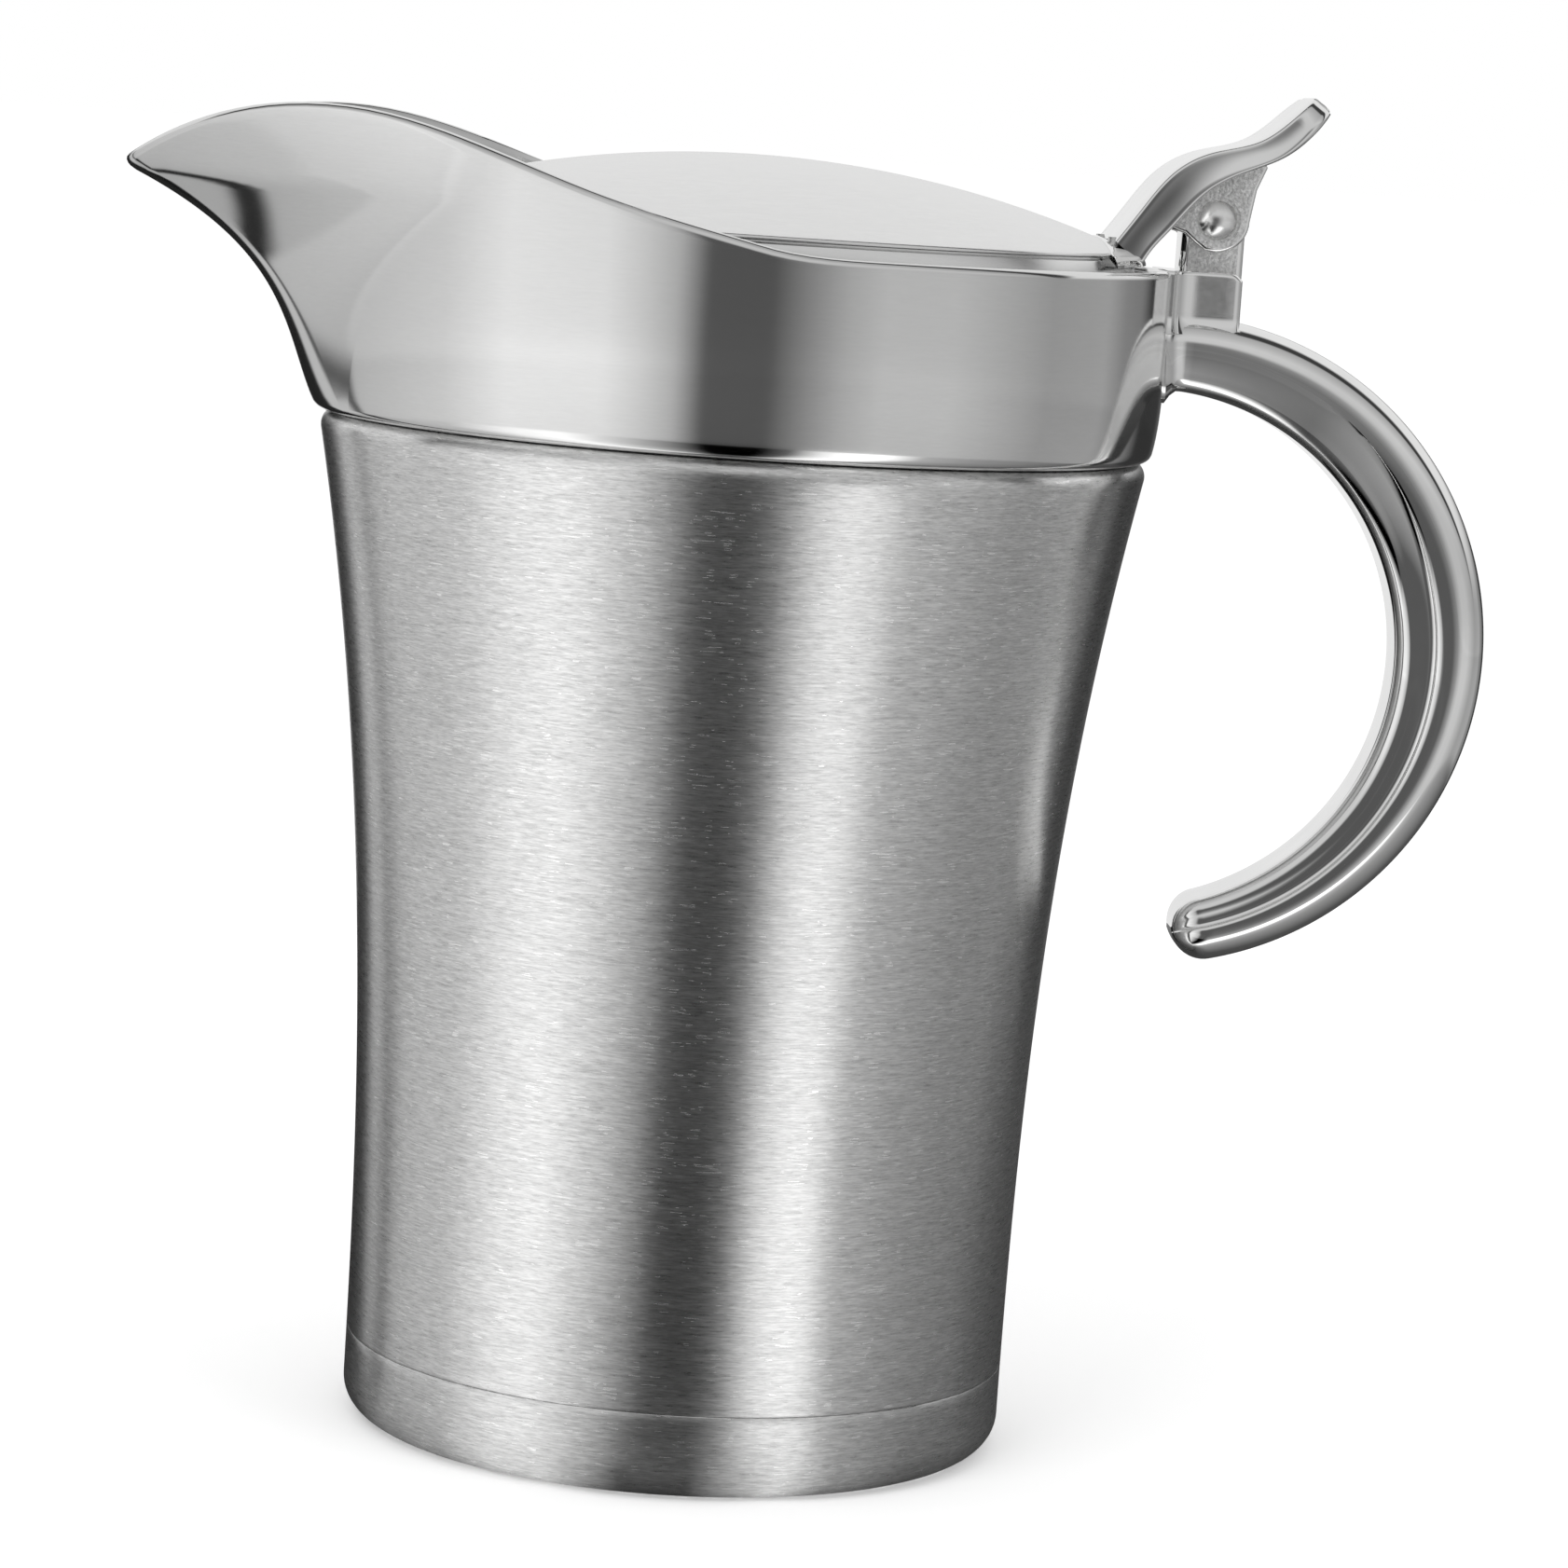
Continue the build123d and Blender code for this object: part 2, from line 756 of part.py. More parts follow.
def main():
    os.makedirs("parts", exist_ok=True)
    collar_outside = collar_form(0)
    write("outer_shell", outer_shell())
    write("base_cup", base_cup())
    write("vacuum_seal", vacuum_seal())
    write("inner_liner", inner_liner())
    write("liner_base", liner_base())
    write("getter", getter())
    write("getter_cup", getter_cup())
    write("spout_collar", spout_collar(collar_outside))
    write("collar_sleeve", collar_sleeve())
    write("neck_gasket", neck_gasket())
    write("handle_shell", handle_shell(collar_outside))
    write("handle_insert", handle_insert())
    write("handle_screws", handle_screws())
    write("hinge_rivet", hinge_rivet())
    write("lid_dome", lid_dome())
    write("lid_underplate", lid_underplate())
    write("lid_foam", lid_foam())
    write("lid_lever", lid_lever())
    write("lever_screws", lever_screws())


main()
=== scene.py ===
from math import acos, atan, atan2, cos, degrees, exp, hypot, pi, radians, sin, sqrt

import bpy
import numpy as np
from mathutils import Matrix, Vector


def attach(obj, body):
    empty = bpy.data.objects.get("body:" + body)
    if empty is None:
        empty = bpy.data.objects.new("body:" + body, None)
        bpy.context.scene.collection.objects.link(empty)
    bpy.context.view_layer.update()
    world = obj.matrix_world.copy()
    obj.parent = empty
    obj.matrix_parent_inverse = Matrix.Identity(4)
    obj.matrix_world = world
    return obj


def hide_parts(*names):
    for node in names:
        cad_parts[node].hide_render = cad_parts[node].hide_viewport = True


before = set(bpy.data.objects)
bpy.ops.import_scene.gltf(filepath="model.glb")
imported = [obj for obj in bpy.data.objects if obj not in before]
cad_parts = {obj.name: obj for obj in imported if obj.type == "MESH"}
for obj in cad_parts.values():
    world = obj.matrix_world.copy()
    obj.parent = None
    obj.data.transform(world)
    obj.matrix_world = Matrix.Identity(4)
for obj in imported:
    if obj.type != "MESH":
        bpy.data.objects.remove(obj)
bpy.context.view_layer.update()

mm = 0.001

print("stage: camera")

cameraSet = {
    "place": (-24.635, -641.247, 161.865),
    "right": (0.99675, -0.04362, 0.06775),
    "up": (-0.06162, 0.12918, 0.98971),
    "lens": 121.14,
    "sensor": 36,
}


def addCamera(settings):
    bpy.ops.object.camera_add(location=[c * mm for c in settings["place"]])
    camera = bpy.context.object
    right = Vector(settings["right"]).normalized()
    up = Vector(settings["up"]).normalized()
    back = right.cross(up).normalized()
    up = back.cross(right)
    turn = Matrix((right, up, back)).transposed()
    camera.matrix_world = Matrix.Translation(camera.location) @ turn.to_4x4()
    camera.data.sensor_fit = "HORIZONTAL"
    camera.data.sensor_width = settings["sensor"]
    camera.data.lens = settings["lens"]
    camera.data.clip_end = 20
    bpy.context.scene.camera = camera


addCamera(cameraSet)
bpy.context.scene.view_settings.view_transform = "Standard"


print("stage: materials")


def newGroup(name, inputs, outputs):
    group = bpy.data.node_groups.new(name, "ShaderNodeTree")
    for label, kind in inputs:
        group.interface.new_socket(name=label, in_out="INPUT", socket_type=kind)
    for label in outputs:
        group.interface.new_socket(name=label, in_out="OUTPUT", socket_type="NodeSocketFloat")
    return group, group.nodes.new("NodeGroupInput"), group.nodes.new("NodeGroupOutput")


def addMath(tree, operation, first, second):
    node = tree.nodes.new("ShaderNodeMath")
    node.operation = operation
    for slot, value in enumerate((first, second)):
        if isinstance(value, (int, float)):
            node.inputs[slot].default_value = value
        else:
            tree.links.new(value, node.inputs[slot])
    return node.outputs[0]


def plus(tree, first, second):
    return addMath(tree, "ADD", first, second)


def minus(tree, first, second):
    return addMath(tree, "SUBTRACT", first, second)


def times(tree, first, second):
    return addMath(tree, "MULTIPLY", first, second)


def setInputs(node, values):
    for name, value in values.items():
        node.inputs[name].default_value = value


def streakNoise(tree, vector, look):
    mapping = tree.nodes.new("ShaderNodeMapping")
    setInputs(mapping, {"Scale": look["cells"]})
    tree.links.new(vector, mapping.inputs["Vector"])
    noise = tree.nodes.new("ShaderNodeTexNoise")
    setInputs(noise, {"Scale": 1, "Detail": look["detail"], "Roughness": look["rough"]})
    tree.links.new(mapping.outputs["Vector"], noise.inputs["Vector"])
    return noise.outputs["Fac"]


# Cells to the metre: streaks run round the Z axis, so they are fine upwards and long across.
brushing = {
    "fine": {"cells": (700, 700, 6500), "detail": 3, "rough": 0.65},
    "broad": {"cells": (240, 240, 3200), "detail": 3, "rough": 0.6},
    "lines": {"cells": (420, 420, 5200), "detail": 1, "rough": 0.5},
    "ends": {"cells": (500, 500, 500), "detail": 1, "rough": 0.5},
    "fineShare": 0.6, "broadShare": 0.4, "lineLimit": 0.66, "endLimit": 0.54,
    "scratchLight": 0.25, "scratchDepth": 0.4, "scratchShine": 0.08,
    "limits": (0.3, 0.7), "depth": 0.00003, "tangentTurn": 0.25,
}
casting = {"detail": 4, "rough": 0.6, "spotShare": 0.6, "limits": (0.35, 0.65)}


def makeBrushed():
    inputs = [("Vector", "NodeSocketVector"), ("Scratches", "NodeSocketFloat")]
    group, source, target = newGroup("brushedAround", inputs, ["Streaks", "Scratch", "Height"])
    vector = source.outputs["Vector"]
    fine = streakNoise(group, vector, brushing["fine"])
    broad = streakNoise(group, vector, brushing["broad"])
    lines = streakNoise(group, vector, brushing["lines"])
    ends = streakNoise(group, vector, brushing["ends"])
    sharp = addMath(group, "GREATER_THAN", lines, brushing["lineLimit"])
    short = addMath(group, "GREATER_THAN", ends, brushing["endLimit"])
    scratch = times(group, times(group, sharp, short), source.outputs["Scratches"])
    fine = times(group, fine, brushing["fineShare"])
    grain = plus(group, fine, times(group, broad, brushing["broadShare"]))
    streaks = plus(group, grain, times(group, scratch, brushing["scratchLight"]))
    height = minus(group, grain, times(group, scratch, brushing["scratchDepth"]))
    group.links.new(streaks, target.inputs["Streaks"])
    group.links.new(scratch, target.inputs["Scratch"])
    group.links.new(height, target.inputs["Height"])
    return group


def makeGrain():
    inputs = [("Vector", "NodeSocketVector"), ("Scale", "NodeSocketFloat")]
    group, source, target = newGroup("castGrain", inputs, ["Grain", "Height"])
    noise = group.nodes.new("ShaderNodeTexNoise")
    setInputs(noise, {"Detail": casting["detail"], "Roughness": casting["rough"]})
    spots = group.nodes.new("ShaderNodeTexVoronoi")
    for node in (noise, spots):
        group.links.new(source.outputs["Vector"], node.inputs["Vector"])
        group.links.new(source.outputs["Scale"], node.inputs["Scale"])
    height = plus(group, noise.outputs["Fac"], times(group, spots.outputs["Distance"], casting["spotShare"]))
    group.links.new(noise.outputs["Fac"], target.inputs["Grain"])
    group.links.new(height, target.inputs["Height"])
    return group


brushedGroup = makeBrushed()
grainGroup = makeGrain()


def newMaterial(name, metallic):
    material = bpy.data.materials.new(name)
    material.use_nodes = True
    tree = material.node_tree
    shader = tree.nodes["Principled BSDF"]
    shader.inputs["Metallic"].default_value = metallic
    place = tree.nodes.new("ShaderNodeTexCoord").outputs["Object"]
    return material, tree, shader, place


def rampBetween(tree, value, limits, colors):
    ramp = tree.nodes.new("ShaderNodeValToRGB")
    for element, limit, color in zip(ramp.color_ramp.elements, limits, colors):
        element.position = limit
        element.color = (*color, 1)
    tree.links.new(value, ramp.inputs["Fac"])
    return ramp.outputs["Color"]


def addBump(tree, shader, height, strength, distance):
    bump = tree.nodes.new("ShaderNodeBump")
    setInputs(bump, {"Strength": strength, "Distance": distance})
    tree.links.new(height, bump.inputs["Height"])
    tree.links.new(bump.outputs["Normal"], shader.inputs["Normal"])


def brushedSteel(name, look):
    material, tree, shader, place = newMaterial(name, 1)
    group = tree.nodes.new("ShaderNodeGroup")
    group.node_tree = brushedGroup
    group.inputs["Scratches"].default_value = look["scratches"]
    tree.links.new(place, group.inputs["Vector"])
    base = rampBetween(tree, group.outputs["Streaks"], brushing["limits"], (look["dark"], look["light"]))
    tree.links.new(base, shader.inputs["Base Color"])
    rough = plus(tree, times(tree, group.outputs["Streaks"], look["spread"]), look["rough"])
    rough = minus(tree, rough, times(tree, group.outputs["Scratch"], brushing["scratchShine"]))
    tree.links.new(rough, shader.inputs["Roughness"])
    setInputs(shader, {"Anisotropic": look["anisotropic"], "Anisotropic Rotation": brushing["tangentTurn"]})
    around = tree.nodes.new("ShaderNodeTangent")
    around.direction_type = "RADIAL"
    around.axis = "Z"
    tree.links.new(around.outputs["Tangent"], shader.inputs["Tangent"])
    addBump(tree, shader, group.outputs["Height"], look["bump"], brushing["depth"])
    return material


def grained(name, metallic, look):
    material, tree, shader, place = newMaterial(name, metallic)
    group = tree.nodes.new("ShaderNodeGroup")
    group.node_tree = grainGroup
    group.inputs["Scale"].default_value = look["scale"]
    tree.links.new(place, group.inputs["Vector"])
    base = rampBetween(tree, group.outputs["Grain"], casting["limits"], (look["dark"], look["light"]))
    tree.links.new(base, shader.inputs["Base Color"])
    rough = plus(tree, times(tree, group.outputs["Grain"], look["spread"]), look["rough"])
    tree.links.new(rough, shader.inputs["Roughness"])
    addBump(tree, shader, group.outputs["Height"], look["bump"], look["depth"])
    return material


def grey(level):
    return (level, level, level * 0.995)


bodySteel = brushedSteel("bodySteel", {
    "dark": grey(0.48), "light": grey(1.0), "rough": 0.22, "spread": 0.14,
    "scratches": 1.0, "anisotropic": 0.8, "bump": 0.3,
})
linerSteel = brushedSteel("linerSteel", {
    "dark": grey(0.58), "light": grey(0.72), "rough": 0.22, "spread": 0.12,
    "scratches": 0.3, "anisotropic": 0.3, "bump": 0.3,
})
collarSteel = brushedSteel("collarSteel", {
    "dark": grey(0.74), "light": grey(0.79), "rough": 0.07, "spread": 0.04,
    "scratches": 0.0, "anisotropic": 0.2, "bump": 0.03,
})
lidSteel = brushedSteel("lidSteel", {
    "dark": grey(0.80), "light": grey(0.86), "rough": 0.22, "spread": 0.06,
    "scratches": 0.0, "anisotropic": 0.0, "bump": 0.03,
})
chrome = grained("polishedChrome", 1, {
    "scale": 60, "dark": grey(0.82), "light": grey(0.9), "rough": 0.03, "spread": 0.04,
    "bump": 0.05, "depth": 0.00005,
})
castChrome = grained("castChrome", 1, {
    "scale": 2600, "dark": grey(0.66), "light": grey(1.0), "rough": 0.34, "spread": 0.2,
    "bump": 0.8, "depth": 0.0001,
})
rivetSteel = grained("rivetSteel", 1, {
    "scale": 900, "dark": grey(0.82), "light": grey(0.9), "rough": 0.16, "spread": 0.1,
    "bump": 0.1, "depth": 0.00005,
})
screwSteel = grained("screwSteel", 1, {
    "scale": 500, "dark": grey(0.6), "light": grey(0.72), "rough": 0.2, "spread": 0.15,
    "bump": 0.2, "depth": 0.00004,
})
solderMetal = grained("solderMetal", 1, {
    "scale": 700, "dark": grey(0.45), "light": grey(0.62), "rough": 0.35, "spread": 0.2,
    "bump": 0.4, "depth": 0.0001,
})
sleevePlastic = grained("sleevePlastic", 0, {
    "scale": 900, "dark": grey(0.03), "light": grey(0.045), "rough": 0.4, "spread": 0.2,
    "bump": 0.15, "depth": 0.00005,
})
sealRubber = grained("sealRubber", 0, {
    "scale": 800, "dark": grey(0.55), "light": grey(0.62), "rough": 0.6, "spread": 0.2,
    "bump": 0.2, "depth": 0.00005,
})
foamPlastic = grained("foamPlastic", 0, {
    "scale": 1500, "dark": (0.72, 0.7, 0.62), "light": (0.82, 0.8, 0.74), "rough": 0.8, "spread": 0.1,
    "bump": 0.5, "depth": 0.0002,
})


print("stage: helpers")


def deselectAll():
    if bpy.context.object and bpy.context.object.mode != "OBJECT":
        bpy.ops.object.mode_set(mode="OBJECT")
    bpy.ops.object.select_all(action="DESELECT")


mergeStep = {"turned": 0.00002, "plate": 0.00001, "grid": 0.000005}  # metres, below each one's finest edge
poleRadius = 0.01  # mm, a ring so small is merged to a pole


def closeMesh(threshold):
    bpy.ops.mesh.select_all(action="SELECT")
    bpy.ops.mesh.remove_doubles(threshold=threshold)
    bpy.ops.mesh.normals_make_consistent(inside=False)
    bpy.ops.object.mode_set(mode="OBJECT")


def turned(name, profile, segments=192):
    # A circle is extruded and scaled from ring to ring of the profile, which is closed or ends in poles.
    deselectAll()
    radius, z = profile[0]
    bpy.ops.mesh.primitive_circle_add(vertices=segments, radius=radius * mm, location=(0, 0, z * mm))
    piece = bpy.context.object
    piece.name = name
    bpy.ops.object.transform_apply(location=True, rotation=False, scale=False)
    bpy.ops.object.mode_set(mode="EDIT")
    bpy.ops.mesh.select_all(action="SELECT")
    for (oldRadius, oldZ), (newRadius, newZ) in zip(profile, profile[1:]):
        bpy.ops.mesh.extrude_region_move(TRANSFORM_OT_translate={"value": (0, 0, (newZ - oldZ) * mm)})
        scale = newRadius / oldRadius
        bpy.ops.transform.resize(value=(scale, scale, 1), center_override=(0, 0, newZ * mm))
    closeMesh(mergeStep["turned"])
    return piece


def shapedGrid(name, columns, rows, place):
    # A flat grid is bent to its form: place(u, v) gives a point in mm for u and v from 0 to 1.
    deselectAll()
    bpy.ops.mesh.primitive_grid_add(x_subdivisions=columns, y_subdivisions=rows, size=2)
    piece = bpy.context.object
    piece.name = name
    for vertex in piece.data.vertices:
        u = (vertex.co.x + 1) / 2
        v = (vertex.co.y + 1) / 2
        vertex.co = Vector(place(u, v)) * mm
    bpy.ops.object.mode_set(mode="EDIT")
    closeMesh(mergeStep["grid"])
    return piece


def pick(piece):
    deselectAll()
    piece.select_set(True)
    bpy.context.view_layer.objects.active = piece


def fillHoles(piece):
    pick(piece)
    bpy.ops.object.mode_set(mode="EDIT")
    bpy.ops.mesh.select_all(action="SELECT")
    bpy.ops.mesh.fill_holes(sides=0)
    closeMesh(mergeStep["grid"])


def plate(name, points, lowY, highY, bevel):
    # A flat outline in the XZ plane, given thickness and a small bevel all round.
    deselectAll()
    bpy.ops.mesh.primitive_circle_add(vertices=len(points), radius=1, fill_type="NGON")
    piece = bpy.context.object
    piece.name = name
    for vertex, (x, z) in zip(piece.data.vertices, points):
        vertex.co = (x * mm, lowY * mm, z * mm)
    bpy.ops.object.mode_set(mode="EDIT")
    bpy.ops.mesh.select_all(action="SELECT")
    bpy.ops.mesh.extrude_region_move(TRANSFORM_OT_translate={"value": (0, (highY - lowY) * mm, 0)})
    closeMesh(mergeStep["plate"])
    modifier = piece.modifiers.new("edges", "BEVEL")
    modifier.width = bevel * mm
    modifier.segments = 3
    modifier.limit_method = "ANGLE"
    modifier.angle_limit = radians(50)
    bpy.ops.object.modifier_apply(modifier=modifier.name)
    return piece


def joined(name, pieces):
    deselectAll()
    for piece in pieces:
        piece.select_set(True)
    bpy.context.view_layer.objects.active = pieces[0]
    bpy.ops.object.join()
    whole = bpy.context.object
    whole.name = name
    return whole


def finishPiece(piece, material, body, nodes, angle=35):
    pick(piece)
    bpy.ops.object.shade_smooth_by_angle(angle=radians(angle))
    if not piece.data.materials:
        piece.data.materials.append(material)
    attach(piece, body)
    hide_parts(*nodes)
    print("made", piece.name, len(piece.data.polygons))


def arcPoints(centre, radius, start, end, count):
    points = []
    for k in range(count + 1):
        turn = radians(start + (end - start) * k / count)
        points.append((centre[0] + radius * cos(turn), centre[1] + radius * sin(turn)))
    return points


def smoothCurve(points, count):
    # Natural cubic through the points, spaced by the length of their chords.
    points = np.array(points, float)
    steps = np.hypot(*np.diff(points, axis=0).T)
    knots = np.concatenate([[0], np.cumsum(steps)])
    last = len(points) - 1
    matrix = np.eye(last + 1)
    right = np.zeros_like(points)
    for k in range(1, last):
        matrix[k, k - 1:k + 2] = (steps[k - 1], 2 * (steps[k - 1] + steps[k]), steps[k])
        right[k] = 6 * ((points[k + 1] - points[k]) / steps[k] - (points[k] - points[k - 1]) / steps[k - 1])
    bends = np.linalg.solve(matrix, right)
    result = []
    for s in np.linspace(0, knots[-1], count + 1):
        k = min(int(np.searchsorted(knots, s, side="right")) - 1, last - 1)
        h = steps[k]
        a = (knots[k + 1] - s) / h
        b = (s - knots[k]) / h
        cubic = ((a ** 3 - a) * bends[k] + (b ** 3 - b) * bends[k + 1]) * h * h / 6
        result.append(tuple(a * points[k] + b * points[k + 1] + cubic))
    return result


print("stage: vessel")

vessel = {
    "baseRadius": 40.6, "shoulderRadius": 50.0, "shoulderZ": 120.6, "power": 2.43,
    "baseCorner": 4.0, "sheet": 0.6, "weldZ": 10.5, "weldBevel": 0.14,
    "shoulderRound": 2.0, "shoulderTopZ": 122.99, "neckRadius": 46.4, "neckRound": 0.8, "lipZ": 132.99,
    "linerInset": 4.7, "linerNeck": 45.3, "linerWeldZ": 22.0, "linerBendZ": 116.6,
    "linerCorner": 8.0, "linerCornerZ": 17.0, "lipEdge": 0.3,
    "holeRadius": 1.0, "dimpleRadius": 4.1, "dimpleZ": 2.6, "panelZ": 1.6, "ringWidth": 2.0, "ringSlope": 1.6,
    "slopeShift": 0.25, "wallRings": 44, "innerRings": 12, "segments": 224,
}


def wallShare(z):
    return max((z - vessel["baseCorner"]) / (vessel["shoulderZ"] - vessel["baseCorner"]), 0)


def wallLean(z):
    flare = vessel["shoulderRadius"] - vessel["baseRadius"]
    height = vessel["shoulderZ"] - vessel["baseCorner"]
    return atan(vessel["power"] * flare / height * wallShare(z) ** (vessel["power"] - 1))


def wallPoint(inset, z):
    flare = vessel["shoulderRadius"] - vessel["baseRadius"]
    radius = vessel["baseRadius"] + flare * wallShare(z) ** vessel["power"]
    return (radius - inset * cos(wallLean(z)), z + inset * sin(wallLean(z)))


def wallPoints(inset, lowZ, highZ, count):
    return [wallPoint(inset, lowZ + (highZ - lowZ) * k / count) for k in range(count + 1)]


def wallSide(inset, count):
    centre = wallPoint(vessel["shoulderRound"], vessel["shoulderZ"])
    lean = -degrees(wallLean(vessel["shoulderZ"]))
    neckX = vessel["neckRadius"] + vessel["neckRound"]
    turn = (neckX, vessel["shoulderTopZ"] + vessel["neckRound"])
    side = wallPoints(inset, vessel["weldZ"] + 0.3, vessel["shoulderZ"], count)
    side += arcPoints(centre, vessel["shoulderRound"] - inset, lean, 90, 14)[1:]
    side += arcPoints(turn, vessel["neckRound"] + inset, 270, 180, 6)
    side.append((vessel["neckRadius"] - inset, vessel["lipZ"]))
    return side


def weldEdge(direction):
    # The small bevel beside the weld line, upwards on the wall and downwards on the cup.
    bevel = vessel["weldBevel"]
    weldZ = vessel["weldZ"]
    edge = [wallPoint(vessel["sheet"], weldZ), wallPoint(bevel, weldZ)]
    return edge + [wallPoint(bevel * 0.3, weldZ + direction * bevel * 0.35)]


def makeWall():
    inner = wallSide(vessel["sheet"], vessel["innerRings"])[::-1]
    low = weldEdge(1) + [wallPoint(0, vessel["weldZ"] + vessel["weldBevel"])]
    profile = low + wallSide(0, vessel["wallRings"]) + inner + low[:1]
    shell = turned("bodyWall", profile, vessel["segments"])
    finishPiece(shell, bodySteel, "vessel", ["outer_shell"])


def makeCup():
    # From the hole for the seal out over the dimple, the panel and the foot ring, and back on the inside.
    sheet = vessel["sheet"]
    corner = vessel["baseCorner"]
    hole = vessel["holeRadius"]
    dimple = vessel["dimpleRadius"]
    dimpleZ = vessel["dimpleZ"]
    panelZ = vessel["panelZ"]
    footX = vessel["baseRadius"] - corner
    ringX = footX - vessel["ringWidth"]
    slopeX = ringX - vessel["ringSlope"]
    shift = vessel["slopeShift"]
    profile = [(hole, dimpleZ), (dimple, dimpleZ), (dimple, panelZ), (slopeX, panelZ), (ringX, 0)]
    profile += arcPoints((footX, corner), corner, 270, 360, 14)
    profile += wallPoints(0, corner + 1, vessel["weldZ"] - vessel["weldBevel"], 5)
    profile += weldEdge(-1)[::-1]
    profile += arcPoints((footX, corner), corner - sheet, 360, 270, 6)
    profile += [(ringX + shift, sheet), (slopeX + shift, panelZ + sheet), (dimple + sheet, panelZ + sheet)]
    profile += [(dimple + sheet, dimpleZ + sheet), (hole, dimpleZ + sheet), (hole, dimpleZ)]
    cup = turned("bottomCup", profile, vessel["segments"])
    finishPiece(cup, bodySteel, "vessel", ["base_cup"])


def makeLinerBottom():
    sheet = vessel["sheet"]
    inset = vessel["linerInset"]
    corner = vessel["linerCorner"]
    cornerZ = vessel["linerCornerZ"]
    turn = wallPoint(inset + corner, cornerZ)
    lean = 360 - degrees(wallLean(cornerZ))
    floorZ = turn[1] - corner
    profile = [(poleRadius, floorZ), (turn[0], floorZ)]
    profile += arcPoints(turn, corner, 270, lean, 10)[1:]
    profile += wallPoints(inset, cornerZ + 1, vessel["linerWeldZ"], 2)
    profile += wallPoints(inset + sheet, cornerZ + 1, vessel["linerWeldZ"], 2)[::-1]
    profile += arcPoints(turn, corner - sheet, lean, 270, 10)
    profile += [(turn[0] * 0.5, floorZ + sheet), (poleRadius, floorZ + sheet)]
    bottom = turned("linerBottom", profile)
    finishPiece(bottom, linerSteel, "vessel", ["liner_base"])


def makeLiner():
    sheet = vessel["sheet"]
    inset = vessel["linerInset"]
    neck = vessel["linerNeck"]
    lip = vessel["lipZ"]
    edge = vessel["lipEdge"]
    outer = wallPoints(inset, vessel["linerWeldZ"], vessel["linerBendZ"], vessel["innerRings"])
    outer += [(neck, vessel["shoulderZ"]), (neck, lip), (vessel["neckRadius"], lip)]
    inner = [(vessel["neckRadius"], lip + sheet), (neck - sheet + edge, lip + sheet)]
    inner += [(neck - sheet, lip + sheet - edge), (neck - sheet, vessel["shoulderZ"])]
    inner += wallPoints(inset + sheet, vessel["linerWeldZ"], vessel["linerBendZ"], 24)[::-1]
    liner = turned("innerLiner", outer + inner + outer[:1])
    finishPiece(liner, linerSteel, "vessel", ["inner_liner"])


makeWall()
makeCup()
makeLinerBottom()
makeLiner()


print("stage: collar")

collar = {
    "z": 122.89, "height": 23.1, "radius": 50.5, "flare": 1.1, "flareHeight": 4.0, "wall": 1.4,
    "start": 0.3, "lean": 0.27, "sweep": 15.0, "rise": 27.0, "power": 3.5, "lipLean": 1.2,
    "nose": 8.5, "noseTaper": 4.0, "footRound": 1.0, "rimRound": 0.8, "innerRound": 0.2, "highest": 45,
    # Stations of the rim from the spout to the hinge: x, height over the back and slope.
    "rim": [
        (-75.2, 5.2, 0.72), (-48.0, 13.3, -0.053), (-17.3, 5.1, -0.283), (0.0, 1.0, -0.226), (13.0, 0.0, 0.0),
    ],
    "backColumns": 108, "sideColumns": 22, "noseColumns": 36, "outerRows": 44, "innerRows": 30,
}
rimBase = collar["z"] + collar["height"]
collarColumns = collar["noseColumns"] + 2 * collar["sideColumns"] + collar["backColumns"]
knownRims = {}


def rimAt(x):
    # Height of the S-shaped rim, a cubic between each pair of stations.
    stations = collar["rim"]
    if x <= stations[0][0]:
        return rimBase + stations[0][1] + stations[0][2] * (x - stations[0][0])
    if x >= stations[-1][0]:
        return rimBase
    for (x0, z0, m0), (x1, z1, m1) in zip(stations, stations[1:]):
        if x <= x1:
            span = x1 - x0
            t = (x - x0) / span
            rise = (2 * t ** 3 - 3 * t ** 2 + 1) * z0 + (3 * t ** 2 - 2 * t ** 3) * z1
            return rimBase + rise + ((t ** 3 - 2 * t ** 2 + t) * m0 + (t ** 3 - t ** 2) * m1) * span


def collarLead(z):
    # How far the spout stands out before the round of the collar.
    rise = max(z - collar["z"], 0)
    curved = min(rise, collar["rise"])
    sweep = collar["sweep"] * (curved / collar["rise"]) ** collar["power"]
    return collar["start"] + collar["lean"] * curved + sweep + collar["lipLean"] * (rise - curved)


def collarPoint(share, z, inset):
    # share runs once round the level slice, from the middle of the nose.
    back = collar["radius"] + collar["flare"] * (1 - exp((collar["z"] - z) / collar["flareHeight"]))
    lead = collarLead(z)
    slope = (collarLead(z + 0.01) - lead) / 0.01
    nose = collar["nose"] + (back - collar["nose"]) * exp(-lead / collar["noseTaper"])
    tip = back + lead - inset * hypot(1, slope)
    back -= inset
    nose -= inset
    noseX = tip - nose
    turn = acos((back - nose) / noseX)
    half = collar["noseColumns"] / 2
    side = collar["sideColumns"]
    step = share * collarColumns
    mirror = 1
    if step > collarColumns / 2:
        step = collarColumns - step
        mirror = -1
    if step <= half:
        angle = turn * step / half
        x, y = -noseX - nose * cos(angle), nose * sin(angle)
    elif step <= half + side:
        t = (step - half) / side
        x = (-noseX - nose * cos(turn)) * (1 - t) - back * cos(turn) * t
        y = (nose * (1 - t) + back * t) * sin(turn)
    else:
        t = (step - half - side) / (collar["backColumns"] / 2)
        angle = turn + (pi - turn) * t
        x, y = -back * cos(angle), back * sin(angle)
    return x, y * mirror


